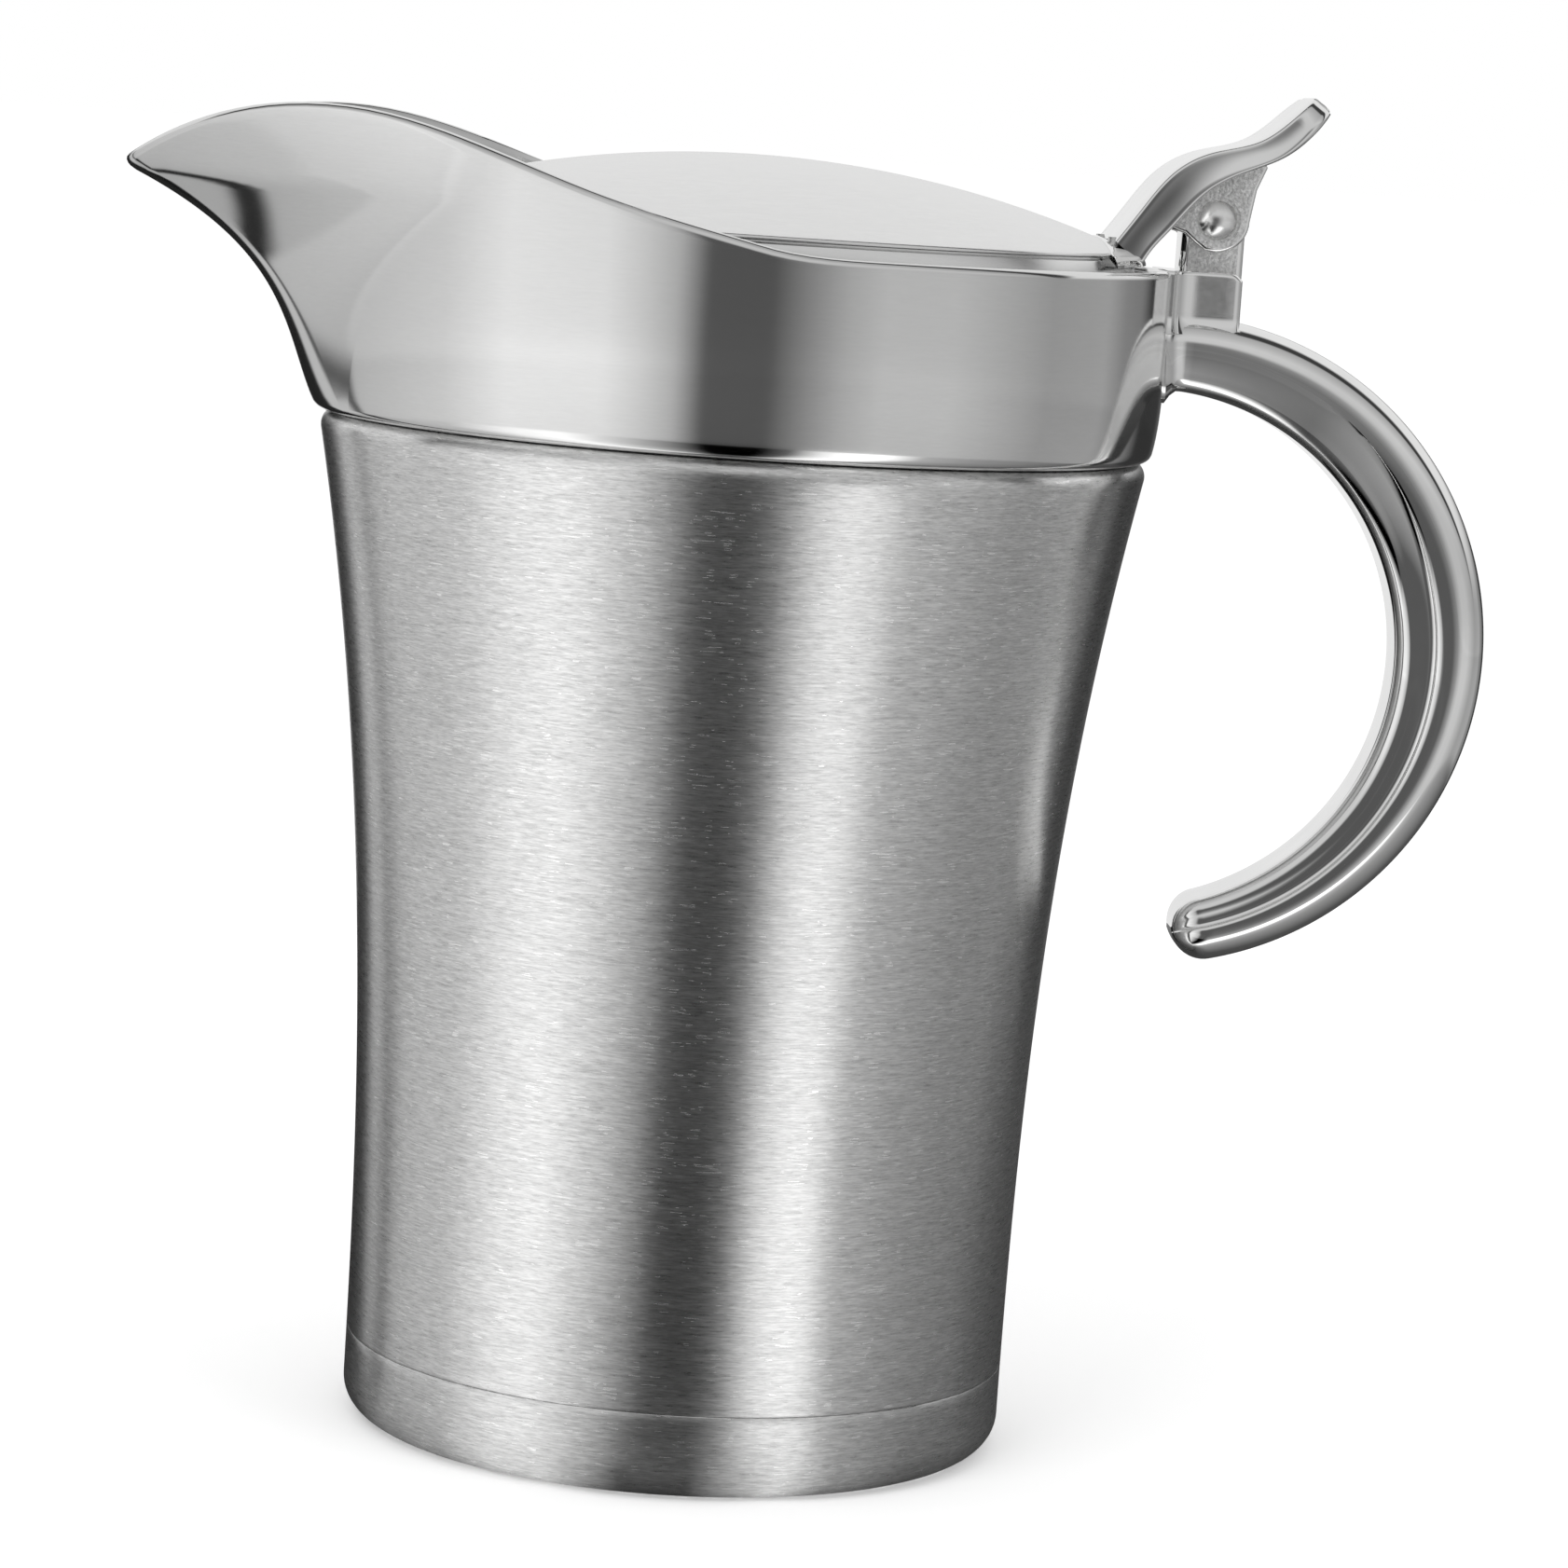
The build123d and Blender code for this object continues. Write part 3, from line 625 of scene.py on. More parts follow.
def rimHeight(share, inset):
    # Where the wall meets the rim's curve, found by halving, and kept for the other rows.
    key = (round(share, 6), inset)
    if key not in knownRims:
        low, high = collar["z"], collar["z"] + collar["highest"]
        for _ in range(40):
            middle = (low + high) / 2
            if middle > rimAt(collarPoint(share, middle, inset)[0]):
                high = middle
            else:
                low = middle
        knownRims[key] = low
    return knownRims[key]


def collarRows():
    # Each row is (inset, height share, step in mm from that height), round the wall's edge.
    foot = collar["footRound"]
    rim = collar["rimRound"]
    wall = collar["wall"]
    inner = collar["innerRound"]
    rows = [(foot * (1 - cos(radians(a))), 0, foot * (1 - sin(radians(a)))) for a in (90, 67, 45, 23, 0)]
    rows += [(0, k / collar["outerRows"], 0) for k in range(3, collar["outerRows"] - 1)]
    rows += [(rim * (1 - cos(radians(a))), 1, rim * (sin(radians(a)) - 1)) for a in (0, 22, 45, 67, 90)]
    rows += [(wall - inner, 1, 0), (wall - inner * 0.3, 1, -inner * 0.3), (wall, 1, -inner)]
    rows += [(wall, k / collar["innerRows"], 0) for k in range(collar["innerRows"] - 1, -1, -1)]
    return rows + rows[:1]


def makeCollar():
    rows = collarRows()

    def place(u, v):
        inset, share, step = rows[round(v * (len(rows) - 1))]
        around = round(u * collarColumns) / collarColumns % 1
        top = rimHeight(around, inset)
        z = collar["z"] + (top - collar["z"]) * share + step
        x, y = collarPoint(around, z, inset)
        return x, y, z

    wall = shapedGrid("spoutCollar", collarColumns, len(rows) - 1, place)
    finishPiece(wall, collarSteel, "vessel", ["spout_collar"])


makeCollar()


print("stage: handle")

handle = {
    "outer": (53.5, 101.0), "outerRadius": 39.8, "grip": (50.6, 100.0), "gripRadius": 31.7,
    "rootX": 49.6, "wallX": 51.5, "flare": 1.6, "tipAngle": -77.0, "width": 13.0,
    "crown": 3.8, "topFlat": 2.2, "bulge": 7.0, "innerRound": 2.2, "innerDraft": 0.3, "capTaper": 0.55,
    # The seam opens over an arc given in degrees: its place as a share of the depth, and the step behind it.
    "seamStart": 60.0, "seamFull": 12.0, "seamHigh": 0.44, "seamLow": 0.56, "step": 0.8, "stepFull": 18.0,
    "usualDepth": 10.0, "rows": 120, "capRows": 14,
}


def ease(value):
    value = min(max(value, 0), 1)
    return value * value * (3 - 2 * value)


def hollow(distance, radius):
    # How far a fillet stands out at this distance from the face that it runs up.
    gap = radius - min(max(distance, 0), radius)
    return radius - sqrt(radius ** 2 - gap ** 2)


def loopPoint(halfLoop, u):
    # Half of an outline, mirrored to the other side: u runs once round the whole.
    count = 2 * (len(halfLoop) - 1)
    k = round(u * count) % count
    if k < len(halfLoop):
        return halfLoop[k]
    across, other = halfLoop[count - k]
    return -across, other


def gripLoop(thick, seam, step):
    # Half of a slice through the grip, from its outer face to its inner one.
    half = handle["width"] / 2
    shrink = min(thick / handle["usualDepth"], 1)
    crown = handle["crown"] * shrink
    seam = max(seam, crown + 0.05)

    def side(depth):
        return half - (depth - crown) ** 2 / (2 * handle["bulge"])

    flat = handle["topFlat"]
    points = [(0, 0)]
    for a in range(0, 91, 6):
        points.append((flat + (half - flat) * sin(radians(a)), crown * (1 - cos(radians(a)))))
    for k in range(1, 5):
        depth = crown + (seam - crown) * k / 4
        points.append((side(depth), depth))
    # The step behind the seam has a rounded edge, then the inner half runs on with a little draft.
    points += [(side(seam) - step * 0.06, seam + 0.05), (side(seam) - step * 0.75, seam + 0.12)]
    turn = handle["innerRound"] * shrink
    end = thick - turn
    start = seam + 0.35
    lower = side(seam) - step
    for k in range(6):
        points.append((lower - handle["innerDraft"] * (k / 5) ** 2, start + (end - start) * k / 5))
    lower -= handle["innerDraft"]
    for a in range(10, 91, 10):
        points.append((lower - turn + turn * cos(radians(a)), end + turn * sin(radians(a))))
    return points + [((lower - turn) * 0.5, thick), (0, thick)]


def openedBy(angle, full):
    return ease((handle["seamStart"] - degrees(angle)) / (handle["seamStart"] - full))


def handleSlice(along):
    # along is 0 at the wall, 1 where the rounded end begins and 2 at its end.
    start = acos((handle["rootX"] - handle["outer"][0]) / handle["outerRadius"])
    angle = start + (radians(handle["tipAngle"]) - start) * min(along, 1)
    outward = Vector((cos(angle), sin(angle)))
    centre = Vector(handle["outer"])
    shift = centre - Vector(handle["grip"])
    ahead = shift.dot(outward)
    reach = sqrt(ahead ** 2 - shift.length_squared + handle["gripRadius"] ** 2) - ahead
    thick = handle["outerRadius"] - reach
    drop = (handle["seamLow"] - handle["seamHigh"]) * openedBy(angle, handle["seamFull"])
    seam = thick * (handle["seamHigh"] + drop)
    step = handle["step"] * openedBy(angle, handle["stepFull"])
    middle = centre + outward * (reach + thick / 2)
    grow = hollow(middle.x - handle["wallX"], handle["flare"]) if angle > 1 else 0
    depthScale = 1 + 2 * grow / thick
    acrossScale = 1 + 2 * grow / handle["width"]
    if along > 1:
        swing = radians(90 * (along - 1))
        middle += Vector((outward.y, -outward.x)) * thick / 2 * sin(swing)
        depthScale = max(cos(swing), 0.03)
        acrossScale = 1 - (1 - depthScale) * handle["capTaper"]
    return gripLoop(thick, seam, step), middle, outward, thick, depthScale, acrossScale


def makeGrip():
    rows = handle["rows"] + handle["capRows"]
    slices = [handleSlice(k / handle["rows"]) for k in range(handle["rows"] + 1)]
    slices += [handleSlice(1 + k / handle["capRows"]) for k in range(1, handle["capRows"] + 1)]
    columns = 2 * (len(slices[0][0]) - 1)

    def place(u, v):
        loop, middle, outward, thick, depthScale, acrossScale = slices[round(v * rows)]
        across, depth = loopPoint(loop, u)
        point = middle + outward * (thick / 2 - depth) * depthScale
        return point.x, across * acrossScale, point.y

    grip = shapedGrid("grip", columns, rows, place)
    fillHoles(grip)
    return grip


hinge = {
    "pin": (56.2, 152.484), "tongueRadius": 3.8, "tongueWidth": 6.6, "tongueFoot": 144.8, "tongueEdge": 0.8,
    "blockBack": 60.0, "blockFront": 50.3, "blockHalf": 4.9, "blockLow": 138.6, "blockTop": 146.15,
    "blockWall": 51.2, "blockFillet": 3.4, "footSpread": 0.9, "footRise": 2.6, "blockRound": 1.0,
    "topEdge": 0.3, "topSlope": 0.8, "backCut": 0.8, "crowding": 0.7, "rows": 36, "sideColumns": 16,
}


def blockLoop(z):
    # Half of a level slice, from the middle of the back to the middle of the front.
    spread = max(1 - (z - hinge["blockLow"]) / hinge["footRise"], 0)
    half = hinge["blockHalf"] + hinge["footSpread"] * spread ** 2
    half -= max(z - hinge["blockTop"] + hinge["topEdge"], 0) * hinge["topSlope"]
    back = hinge["blockBack"] - max(z - hinge["blockTop"] + hinge["backCut"], 0)
    turn = hinge["blockRound"]
    wall = hinge["blockWall"]
    points = [(0, back)]
    for a in range(0, 91, 15):
        points.append((half - turn + turn * sin(radians(a)), back - turn + turn * cos(radians(a))))
    for k in range(1, hinge["sideColumns"] + 1):
        x = back - turn + (wall - back + turn) * (k / hinge["sideColumns"]) ** hinge["crowding"]
        points.append((half + hollow(x - wall, hinge["blockFillet"]), x))
    return points + [(points[-1][0], hinge["blockFront"]), (0, hinge["blockFront"])]


def makeBlock():
    rows = hinge["rows"]
    low = hinge["blockLow"]
    heights = [low + (hinge["blockTop"] - low) * k / rows for k in range(rows + 1)]
    loops = [blockLoop(z) for z in heights]

    def place(u, v):
        row = round(v * rows)
        y, x = loopPoint(loops[row], u)
        return x, y, heights[row]

    block = shapedGrid("hingeBlock", 2 * (len(loops[0]) - 1), rows, place)
    fillHoles(block)
    return block


def coverSides(piece, finish=castChrome, flat=0.97):
    # Flat sides keep a duller skin than the rounded edges, which are polished.
    piece.data.materials.append(finish)
    piece.data.materials.append(chrome)
    for face in piece.data.polygons:
        face.material_index = 0 if abs(face.normal.y) > flat else 1


def makeTongue():
    x, z = hinge["pin"]
    radius = hinge["tongueRadius"]
    points = [(x - radius, hinge["tongueFoot"]), (x + radius, hinge["tongueFoot"])]
    points += arcPoints((x, z), radius, 0, 180, 32)
    half = hinge["tongueWidth"] / 2
    tongue = plate("hingeTongue", points, -half, half, hinge["tongueEdge"])
    coverSides(tongue)
    return tongue


def makeHandlePiece():
    grip = makeGrip()
    block = makeBlock()
    grip.data.materials.append(chrome)
    coverSides(block, rivetSteel, 0.995)
    whole = joined("handleCasting", [grip, block, makeTongue()])
    finishPiece(whole, chrome, "vessel", ["handle_shell", "handle_insert"], 40)


makeHandlePiece()


print("stage: lid")

lid = {
    "radius": 47.0, "domeRadius": 128.0, "topZ": 156.6, "sheet": 0.7, "roll": 0.8, "bottomZ": 144.59,
    "edgeRoll": 0.4, "flangeLean": 0.45, "flangeDrop": 1.7, "footEdge": 0.15,
    # The groove under the dome's edge: how far the edge keeps in, the depth, and the heights of its corners.
    "edgeShort": 0.2, "grooveDepth": 0.1, "grooveHeights": (0.12, 0.24, 0.32),
    "plateRadius": 46.2, "plateThickness": 1.2, "stepIn": 1.2, "stepRise": 0.3, "stepSlope": 0.4,
    "plateEdge": 0.3, "edgeRise": 0.2, "segments": 224, "plateSegments": 128,
}
domeCentreZ = lid["topZ"] - lid["domeRadius"]


def domeZ(radius, inset=0):
    return domeCentreZ + sqrt((lid["domeRadius"] - inset) ** 2 - radius ** 2)


def domeArc(inset, reach, roll, last, count):
    # The dome out to its rounded edge, which turns down as far as the angle last.
    rollX = reach - roll
    rollZ = domeZ(rollX, roll)
    edge = degrees(atan2(rollZ - domeCentreZ, rollX))
    side = arcPoints((0, domeCentreZ), lid["domeRadius"] - inset, 90, edge, count)
    side[0] = (poleRadius, side[0][1])
    return side + arcPoints((rollX, rollZ), roll - inset, edge, last, 8)[1:]


def makeDome():
    # Under the dome's edge runs a fine groove, and below it a flange that leans in a little.
    radius = lid["radius"]
    low = lid["bottomZ"]
    depth = lid["grooveDepth"]
    profile = domeArc(0, radius - lid["flangeLean"] - lid["edgeShort"], lid["edgeRoll"], -40, 40)
    x, z = profile[-1]
    first, second, third = lid["grooveHeights"]
    profile += [(x - depth, z - first), (x + depth, z - second), (radius - lid["flangeLean"], z - third)]
    profile += [(radius, z - lid["flangeDrop"]), (radius, low + lid["footEdge"])]
    profile += [(radius - lid["footEdge"], low), (radius - lid["sheet"], low)]
    profile += domeArc(lid["sheet"], radius, lid["roll"], 0, 16)[::-1]
    dome = turned("lidDome", profile, lid["segments"])
    finishPiece(dome, lidSteel, "lid", ["lid_dome"])


def makeUnderplate():
    low = lid["bottomZ"]
    high = low + lid["plateThickness"]
    radius = lid["plateRadius"]
    stepX = radius - lid["stepIn"]
    stepZ = low + lid["stepRise"]
    profile = [(poleRadius, low), (20, low), (stepX - lid["stepSlope"], low), (stepX, stepZ)]
    profile += [(radius - lid["plateEdge"], stepZ), (radius, stepZ + lid["edgeRise"]), (radius, high)]
    under = turned("lidUnderplate", profile + [(poleRadius, high)], lid["plateSegments"])
    finishPiece(under, sleevePlastic, "lid", ["lid_underplate"])


makeDome()
makeUnderplate()


print("stage: lever")

lever = {
    # Outlines of the arm and the ears from the side, in mm from the pin.
    "top": [(-12.6, -3.2), (-9.8, 0.8), (-6.1, 5.5), (-1.9, 8.0), (4.0, 9.8), (8.4, 13.3), (10.7, 15.5)],
    "under": [
        (-9.3, -5.9), (-8.1, -3.9), (-6.2, -1.6), (-1.9, 3.3),
        (2.7, 6.0), (7.2, 8.1), (10.6, 11.1), (12.8, 13.9),
    ],
    "ear": [(-5.9, -1.3), (-3.8, -1.8), (-2.5, -2.9), (-1.2, -3.75)],
    "earEnd": [(4.5, 3.9), (5.7, 6.9), (0.8, 7.5)],
    "rootWidth": 20.4, "tipWidth": 17.2, "tipRound": 3.6, "draft": 0.34,
    "edge": 0.4, "underEdge": 0.4, "tipUnderEdge": 0.9, "tipFold": 0.4, "rows": 60, "foldRows": 4,
    "earThickness": 2.0, "earGap": 0.35, "earRadius": 3.9, "earEdge": 0.4, "recess": 0.3, "recessRadius": 2.8,
    "rivetRadius": 2.4, "rivetRise": 1.1, "pinRadius": 1.5,
}
leverFoot = {
    "radius": 48.3, "front": 42.2, "thickness": 0.25, "lowZ": 146.5, "sideEnd": 0.6, "fadeWidth": 3.0,
    "edge": 1.2, "droop": 0.35, "droopFrom": 46.4, "domeEdge": 46.9, "lowEdge": 0.2, "lowInner": 46.7,
    "frontSunk": 0.3, "innerRadius": 46.2, "innerSunk": 0.5, "columns": 64,
}


def leverLoop(half, thick, edge, underEdge):
    # The sides are a little hollow and draw outwards towards the underside.
    points = [(0, 0), ((half - edge) * 0.5, 0)]
    for k in range(6):
        turn = radians(18 * k)
        points.append((half - edge + edge * sin(turn), edge - edge * cos(turn)))
    span = thick - edge - underEdge
    points += [(half + lever["draft"] * (k / 8) ** 2, edge + span * k / 8) for k in range(1, 8)]
    half += lever["draft"]
    for k in range(6):
        turn = radians(18 * k)
        points.append((half - underEdge + underEdge * cos(turn), thick - underEdge + underEdge * sin(turn)))
    return points + [((half - underEdge) * 0.5, thick), (0, thick)]


def leverSlice(upper, lower, tip, fold):
    # fold is 0 where the rounded end of the arm begins and 1 at its very end, and below 0 before it.
    start = lever["top"][0][0]
    share = (upper.x - start) / (lever["top"][-1][0] - start)
    half = (lever["rootWidth"] * (1 - share) + lever["tipWidth"] * share) / 2
    half -= hollow((tip - upper).length, lever["tipRound"])
    thick = (lower - upper).length
    axis = (lower - upper).normalized()
    grown = (lever["tipUnderEdge"] - lever["underEdge"]) * ease(share * 3 - 2)
    underEdge = lever["underEdge"] + grown
    if fold >= 0:
        swing = radians(90 * fold)
        ahead = Vector((-axis.y, axis.x))
        folded = lever["tipFold"] * (1 - cos(swing))
        upper = upper + ahead * lever["tipFold"] * (sin(swing) - 1) + axis * folded
        thick -= 2 * folded
        half -= folded
    loop = leverLoop(half, thick, min(lever["edge"], thick * 0.3), min(underEdge, thick * 0.4))
    return loop, upper, axis


def makeLeverArm():
    last = lever["rows"]
    rows = last + lever["foldRows"]
    top = [Vector(point) for point in smoothCurve(lever["top"], last)]
    under = [Vector(point) for point in smoothCurve(lever["under"], last)]
    pinX, pinZ = hinge["pin"]
    slices = []
    for row in range(rows + 1):
        along = min(row, last)
        slices.append(leverSlice(top[along], under[along], top[last], (row - last) / lever["foldRows"]))

    def place(u, v):
        loop, upper, axis = slices[round(v * rows)]
        across, depth = loopPoint(loop, u)
        point = upper + axis * depth
        return pinX + point.x, across, pinZ + point.y

    arm = shapedGrid("leverArm", 2 * (len(slices[0][0]) - 1), rows, place)
    fillHoles(arm)
    return arm


def footSlice(angle):
    # From the front edge on the dome, over the pad and down its outer edge, and back underneath.
    outer = leverFoot["radius"]
    edge = leverFoot["edge"]
    low = leverFoot["lowZ"]
    onDome = leverFoot["domeEdge"]
    inner = leverFoot["front"] / cos(angle)
    fade = min((outer - inner) / leverFoot["fadeWidth"], 1)
    rise = leverFoot["thickness"] * ease(fade * 0.9 + 0.1)
    reach = min(rise, (outer - inner) * 0.4)
    points = [(inner, domeZ(min(inner, onDome)) - leverFoot["frontSunk"])]
    for k in range(7):
        turn = radians(15 * k)
        r = inner + reach * (1 - cos(turn))
        points.append((r, domeZ(min(r, onDome)) + rise * sin(turn)))
    frontX = points[-1][0]
    for k in range(1, 6):
        r = frontX + (outer - edge - frontX) * k / 5
        droop = leverFoot["droop"] * max(r - leverFoot["droopFrom"], 0)
        points.append((r, domeZ(min(r, onDome)) + rise - droop))
    lastZ = points[-1][1]
    for k in range(1, 7):
        turn = radians(15 * k)
        points.append((outer - edge + edge * sin(turn), lastZ - edge * (1 - cos(turn))))
    cut = leverFoot["lowEdge"]
    points += [(outer, low + cut), (outer - cut, low), (leverFoot["lowInner"], low)]
    within = leverFoot["innerRadius"]
    return points + [(within, domeZ(within) - leverFoot["innerSunk"]), points[0]]


def makeFoot():
    widest = acos(leverFoot["front"] / (leverFoot["radius"] - leverFoot["sideEnd"]))
    rows = len(footSlice(0)) - 1

    def place(u, v):
        angle = widest * (2 * u - 1)
        r, z = footSlice(angle)[round(v * rows)]
        return r * cos(angle), r * sin(angle), z

    pad = shapedGrid("leverFoot", leverFoot["columns"], rows, place)
    fillHoles(pad)
    return pad


def makeEar(side):
    pinX, pinZ = hinge["pin"]
    low = hinge["tongueWidth"] / 2 + lever["earGap"]
    high = low + lever["earThickness"]
    points = [(pinX + x, pinZ + z) for x, z in lever["ear"]]
    points += arcPoints((pinX, pinZ), lever["earRadius"], 270, 360, 12)
    points += [(pinX + x, pinZ + z) for x, z in lever["earEnd"]]
    lowY, highY = (low, high) if side > 0 else (-high, -low)
    ear = plate("leverEar", points, lowY, highY, lever["earEdge"])
    coverSides(ear)
    deselectAll()
    bpy.ops.mesh.primitive_cylinder_add(
        vertices=64, radius=lever["recessRadius"] * mm, depth=2 * lever["recess"] * mm,
        location=(pinX * mm, side * high * mm, pinZ * mm), rotation=(pi / 2, 0, 0),
    )
    cutter = bpy.context.object
    bpy.context.view_layer.objects.active = ear
    recess = ear.modifiers.new("recess", "BOOLEAN")
    recess.operation = "DIFFERENCE"
    recess.object = cutter
    bpy.ops.object.modifier_apply(modifier=recess.name)
    bpy.data.objects.remove(cutter)
    return ear


def makeRivet():
    seat = hinge["tongueWidth"] / 2 + lever["earGap"] + lever["earThickness"] - lever["recess"]
    rise = lever["rivetRise"]
    radius = lever["rivetRadius"]
    ball = (radius ** 2 + rise ** 2) / (2 * rise)
    rim = degrees(acos(radius / ball))
    head = arcPoints((0, seat + rise - ball), ball, 90, rim, 14)
    head[0] = (poleRadius, seat + rise)
    profile = head + [(radius, seat), (lever["pinRadius"], seat), (lever["pinRadius"], 0)]
    profile += [(r, -z) for r, z in profile[:-1][::-1]]
    rivet = turned("hingeRivet", profile, 64)
    rivet.rotation_euler = (radians(90), 0, 0)
    rivet.location = (hinge["pin"][0] * mm, 0, hinge["pin"][1] * mm)
    pick(rivet)
    bpy.ops.object.transform_apply(location=True, rotation=True, scale=True)
    finishPiece(rivet, rivetSteel, "lid", ["hinge_rivet"])


def makeLever():
    arm = makeLeverArm()
    pad = makeFoot()
    ears = [makeEar(1), makeEar(-1)]
    for piece in (arm, pad):
        piece.data.materials.append(chrome)
    whole = joined("thumbLever", [arm, pad] + ears)
    finishPiece(whole, chrome, "lid", ["lid_lever"], 40)


makeLever()
makeRivet()


print("stage: pieces kept from the frame")

keptMaterials = {
    "collar_sleeve": sleevePlastic, "neck_gasket": sealRubber, "vacuum_seal": solderMetal,
    "getter": solderMetal, "getter_cup": linerSteel, "handle_screws": screwSteel,
    "lever_screws": screwSteel, "lid_foam": foamPlastic,
}
for nodeName, material in keptMaterials.items():
    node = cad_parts[nodeName]
    for slotIndex in range(len(node.material_slots)):
        node.material_slots[slotIndex].material = material


print("stage: studio")

studio = {
    "floorSize": 40.0, "floorColor": 0.9, "floorGlow": 0.25, "worldLevel": 0.85,
    # The tent in mm. It is turned to the camera, and its roof begins higher at the front, by this slope.
    "tentRadius": 1300.0, "tentFoot": 30.0, "tentGap": 41.0, "tentFlat": (0.2, 0.6), "tentRing": 4.0,
    "tentTurn": 92.2, "tentFront": 0.12,
    # Light that comes through it, by the angle from the camera's side: white cloth and black flags.
    "tentNear": [
        (-180, 0.02), (-150, 0.05), (-120, 0.3), (-88, 0.45), (-60, 0.9), (-45, 0.9), (-16, 0.1), (8, 0.08),
        (24, 0.5), (40, 0.95), (60, 0.35), (92, 0.15), (180, 0.05),
    ],
    "tentLow": [
        (-180, 0.01), (-147, 0.01), (-144, 0.42), (-134, 0.42), (-131, 0.02), (-126, 0.02), (-122, 0.44),
        (-88, 0.55), (-66, 1.0), (-50, 1.15), (-38, 0.75), (-16, 0.18), (-9, 0.0), (8, 0.0), (16, 0.12),
        (25, 0.9), (33, 1.3), (43, 1.3), (55, 0.42), (75, 0.28), (92, 0.22), (130, 0.08), (180, 0.05),
    ],
    "tentMiddle": [
        (-180, 0.02), (-147, 0.02), (-143, 0.6), (-133, 0.62), (-130, 0.1), (-128, 0.1), (-125, 0.58),
        (-85, 0.73), (-64, 0.95), (-36, 0.88), (-26, 0.7), (-17, 0.5), (-9, 0.1), (8, 0.1), (28, 0.46),
        (38, 0.57), (58, 0.57), (90, 0.36), (114, 0.4), (124, 0.26), (134, 0.22), (142, 0.04), (160, 0.04),
        (180, 0.2),
    ],
    # The same for its roof, by the angle from the front over the top to the back.
    "tentRoof": [
        (0, 0.6), (45, 0.65), (64, 0.52), (82, 0.42), (88, 0.05), (102, 0.05), (112, 0.85), (180, 0.85),
    ],
    # Where one band gives way to the next: by the metres from the axis, the roof by the height in radii.
    "lowFrom": (0.05, 0.08), "middleFrom": (0.29, 0.34), "roofFrom": (0.12, 0.4), "vesselHalf": 0.02,
    # The floor is brighter than the room, so the cloth that lies on it lets less through.
    # The tent's wall begins between these heights in metres.
    "floorShare": 0.86, "wallFrom": (0.002, 0.02),
    "card": {"y": 0.38, "low": -0.11, "high": 0.12, "top": 0.3, "level": 0.85},
}
lamps = {
    "keyLamp": {"place": (-0.8, -1.1, 1.2), "side": 0.8, "power": 6},
    "fillLamp": {"place": (1.0, -0.8, 0.9), "side": 0.8, "power": 3},
}
lampTarget = (0, 0, 0.08)


def seenDirectly(tree):
    # 1 for camera, glossy and transmission rays, 0 for the light that falls on things.
    path = tree.nodes.new("ShaderNodeLightPath")
    seen = addMath(tree, "MAXIMUM", path.outputs["Is Camera Ray"], path.outputs["Is Glossy Ray"])
    return addMath(tree, "MAXIMUM", seen, path.outputs["Is Transmission Ray"])


def makeFloor():
    deselectAll()
    bpy.ops.mesh.primitive_plane_add(size=studio["floorSize"], location=(0, 0, 0))
    floor = bpy.context.object
    floor.name = "floor"
    material = bpy.data.materials.new("floor")
    material.use_nodes = True
    tree = material.node_tree
    shader = tree.nodes["Principled BSDF"]
    level = studio["floorColor"]
    setInputs(shader, {
        "Base Color": (level, level, level, 1), "Roughness": 0.9, "Specular IOR Level": 0,
        "Emission Color": (1, 1, 1, 1),
    })
    glow = times(tree, seenDirectly(tree), studio["floorGlow"])
    tree.links.new(glow, shader.inputs["Emission Strength"])
    floor.data.materials.append(material)


def makeWorld():
    world = bpy.data.worlds.new("studio")
    bpy.context.scene.world = world
    world.use_nodes = True
    tree = world.node_tree
    background = tree.nodes["Background"]
    level = studio["worldLevel"]
    strength = plus(tree, times(tree, seenDirectly(tree), 1 - level), level)
    background.inputs["Color"].default_value = (1, 1, 1, 1)
    tree.links.new(strength, background.inputs["Strength"])


def addStops(tree, value, stops):
    # The stops run from the first angle, where value is 0, to the last, where it is 1.
    ramp = tree.nodes.new("ShaderNodeValToRGB")
    elements = ramp.color_ramp.elements
    while len(elements) < len(stops):
        elements.new(0.5)
    first = stops[0][0]
    last = stops[-1][0]
    for element, (angle, level) in zip(elements, stops):
        element.position = (angle - first) / (last - first)
        element.color = (level, level, level, 1)
    tree.links.new(value, ramp.inputs["Fac"])
    return ramp.outputs["Color"]


def blended(tree, value, limits, lower, upper):
    share = tree.nodes.new("ShaderNodeMapRange")
    share.interpolation_type = "SMOOTHSTEP"
    setInputs(share, {"From Min": limits[0], "From Max": limits[1]})
    tree.links.new(value, share.inputs["Value"])
    both = tree.nodes.new("ShaderNodeMix")
    both.data_type = "RGBA"
    tree.links.new(share.outputs["Result"], both.inputs["Factor"])
    tree.links.new(lower, both.inputs[6])
    tree.links.new(upper, both.inputs[7])
    return both.outputs[2]


def angleFromVessel(tree, x, y, reach):
    # Near the vessel the cloth is seen from the wall, not from the axis, so its angle grows.
    turn = addMath(tree, "ARCTAN2", y, x)
    spread = addMath(tree, "DIVIDE", reach, minus(tree, reach, studio["vesselHalf"]))
    share = addMath(tree, "DIVIDE", times(tree, turn, spread), 2 * pi)
    return plus(tree, share, 0.5)


def hideFromView(piece):
    # It only shows in reflections and is no part of the object.
    piece.visible_camera = False
    piece.visible_diffuse = False
    piece.visible_transmission = False
    piece.visible_shadow = False


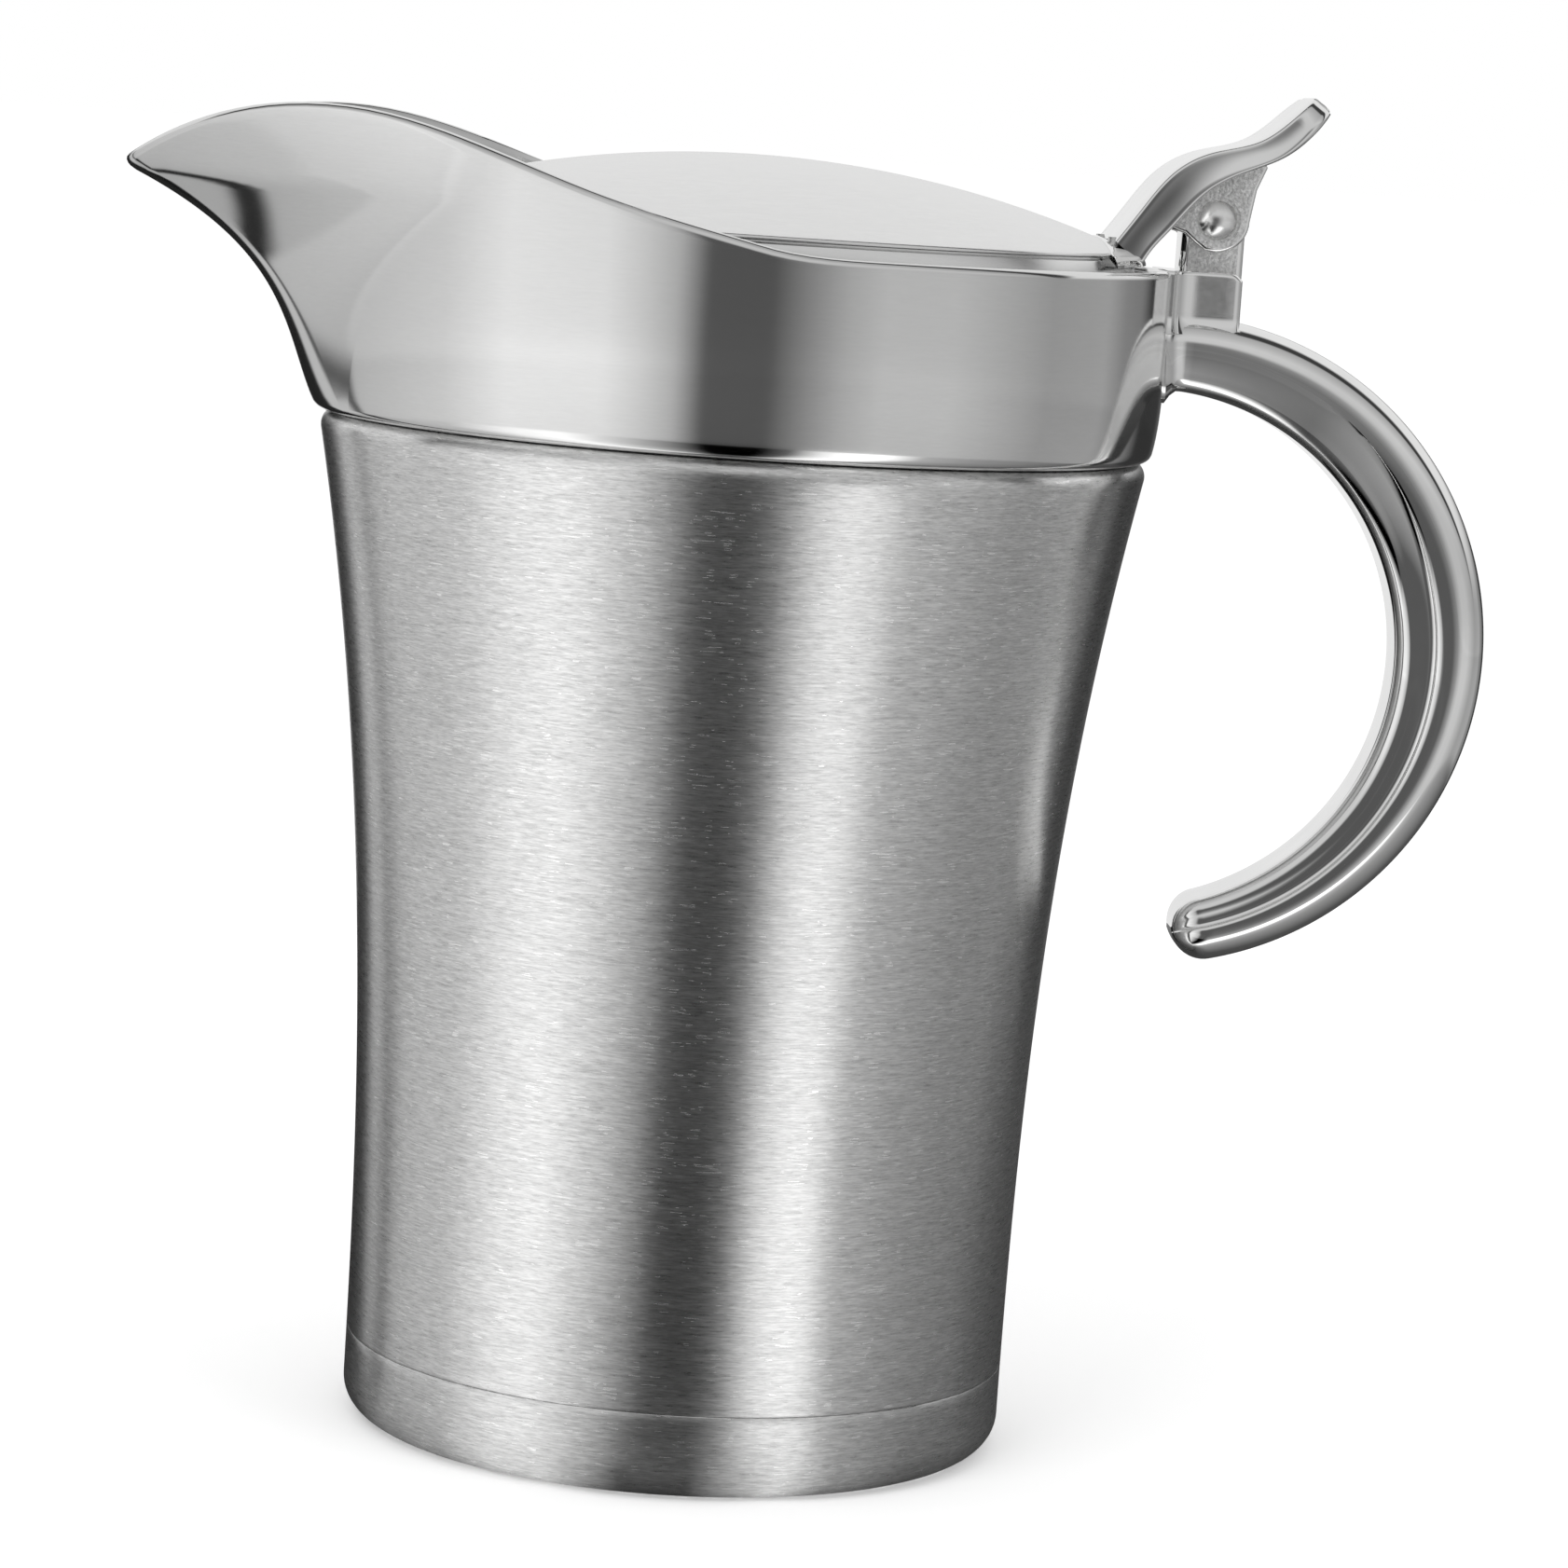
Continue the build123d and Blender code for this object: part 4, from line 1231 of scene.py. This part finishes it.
def tentLight(tree, x, y, z):
    # The colour of the cloth: three bands of stripes, from the foot outwards, and the roof over them.
    reach = addMath(tree, "SQRT", plus(tree, times(tree, x, x), times(tree, y, y)), 0)
    around = angleFromVessel(tree, x, y, reach)
    near = addStops(tree, around, studio["tentNear"])
    low = addStops(tree, around, studio["tentLow"])
    middle = addStops(tree, around, studio["tentMiddle"])
    over = addMath(tree, "DIVIDE", addMath(tree, "ARCTAN2", z, x), pi)
    roof = addStops(tree, over, studio["tentRoof"])
    raised = times(tree, addMath(tree, "MAXIMUM", x, 0), studio["tentFront"])
    roofHeight = addMath(tree, "DIVIDE", minus(tree, z, raised), studio["tentRadius"] * mm)
    ground = blended(tree, reach, studio["lowFrom"], near, low)
    dimmed = times(tree, middle, studio["floorShare"])
    middle = blended(tree, z, studio["wallFrom"], dimmed, middle)
    sides = blended(tree, reach, studio["middleFrom"], ground, middle)
    return blended(tree, roofHeight, studio["roofFrom"], sides, roof)


def makeTent():
    # Cloth round the vessel that lets the white room through in broad upright stripes.
    radius = studio["tentRadius"]
    profile = [(studio["tentFoot"], 0.1), (studio["tentGap"], 0.3)]
    profile += [(radius * share, 1) for share in studio["tentFlat"]]
    for k in range(23):
        turn = radians(studio["tentRing"] * k)
        profile.append((radius * cos(turn) + poleRadius, 1 + radius * sin(turn)))
    tent = turned("lightTent", profile, 96)
    material = bpy.data.materials.new("lightTent")
    material.use_nodes = True
    tree = material.node_tree
    tree.nodes.clear()
    mapping = tree.nodes.new("ShaderNodeMapping")
    mapping.inputs["Rotation"].default_value = (0, 0, radians(studio["tentTurn"]))
    tree.links.new(tree.nodes.new("ShaderNodeTexCoord").outputs["Object"], mapping.inputs["Vector"])
    place = tree.nodes.new("ShaderNodeSeparateXYZ")
    tree.links.new(mapping.outputs["Vector"], place.inputs["Vector"])
    cloth = tree.nodes.new("ShaderNodeBsdfTransparent")
    tree.links.new(tentLight(tree, *place.outputs), cloth.inputs["Color"])
    output = tree.nodes.new("ShaderNodeOutputMaterial")
    tree.links.new(cloth.outputs[0], output.inputs["Surface"])
    tent.data.materials.append(material)
    hideFromView(tent)


def makeCard():
    # White card behind the vessel, for the inner face of the handle.
    card = studio["card"]
    deselectAll()
    centre = ((card["low"] + card["high"]) / 2, card["y"], card["top"] / 2)
    bpy.ops.mesh.primitive_plane_add(size=1, location=centre, rotation=(pi / 2, 0, 0))
    piece = bpy.context.object
    piece.name = "whiteCard"
    piece.scale = (card["high"] - card["low"], card["top"], 1)
    bpy.ops.object.transform_apply(location=True, rotation=True, scale=True)
    material = bpy.data.materials.new("whiteCard")
    material.use_nodes = True
    shader = material.node_tree.nodes["Principled BSDF"]
    setInputs(shader, {
        "Base Color": (0, 0, 0, 1), "Specular IOR Level": 0,
        "Emission Color": (1, 1, 1, 1), "Emission Strength": card["level"],
    })
    piece.data.materials.append(material)
    hideFromView(piece)


def addLamp(name, settings):
    deselectAll()
    bpy.ops.object.light_add(type="AREA", location=settings["place"])
    lamp = bpy.context.object
    lamp.name = name
    lamp.data.shape = "SQUARE"
    lamp.data.size = settings["side"]
    lamp.data.energy = settings["power"]
    lamp.rotation_euler = (Vector(settings["place"]) - Vector(lampTarget)).to_track_quat("Z", "Y").to_euler()
    lamp.visible_glossy = False


makeFloor()
makeWorld()
makeTent()
makeCard()
for lampName, lampSettings in lamps.items():
    addLamp(lampName, lampSettings)
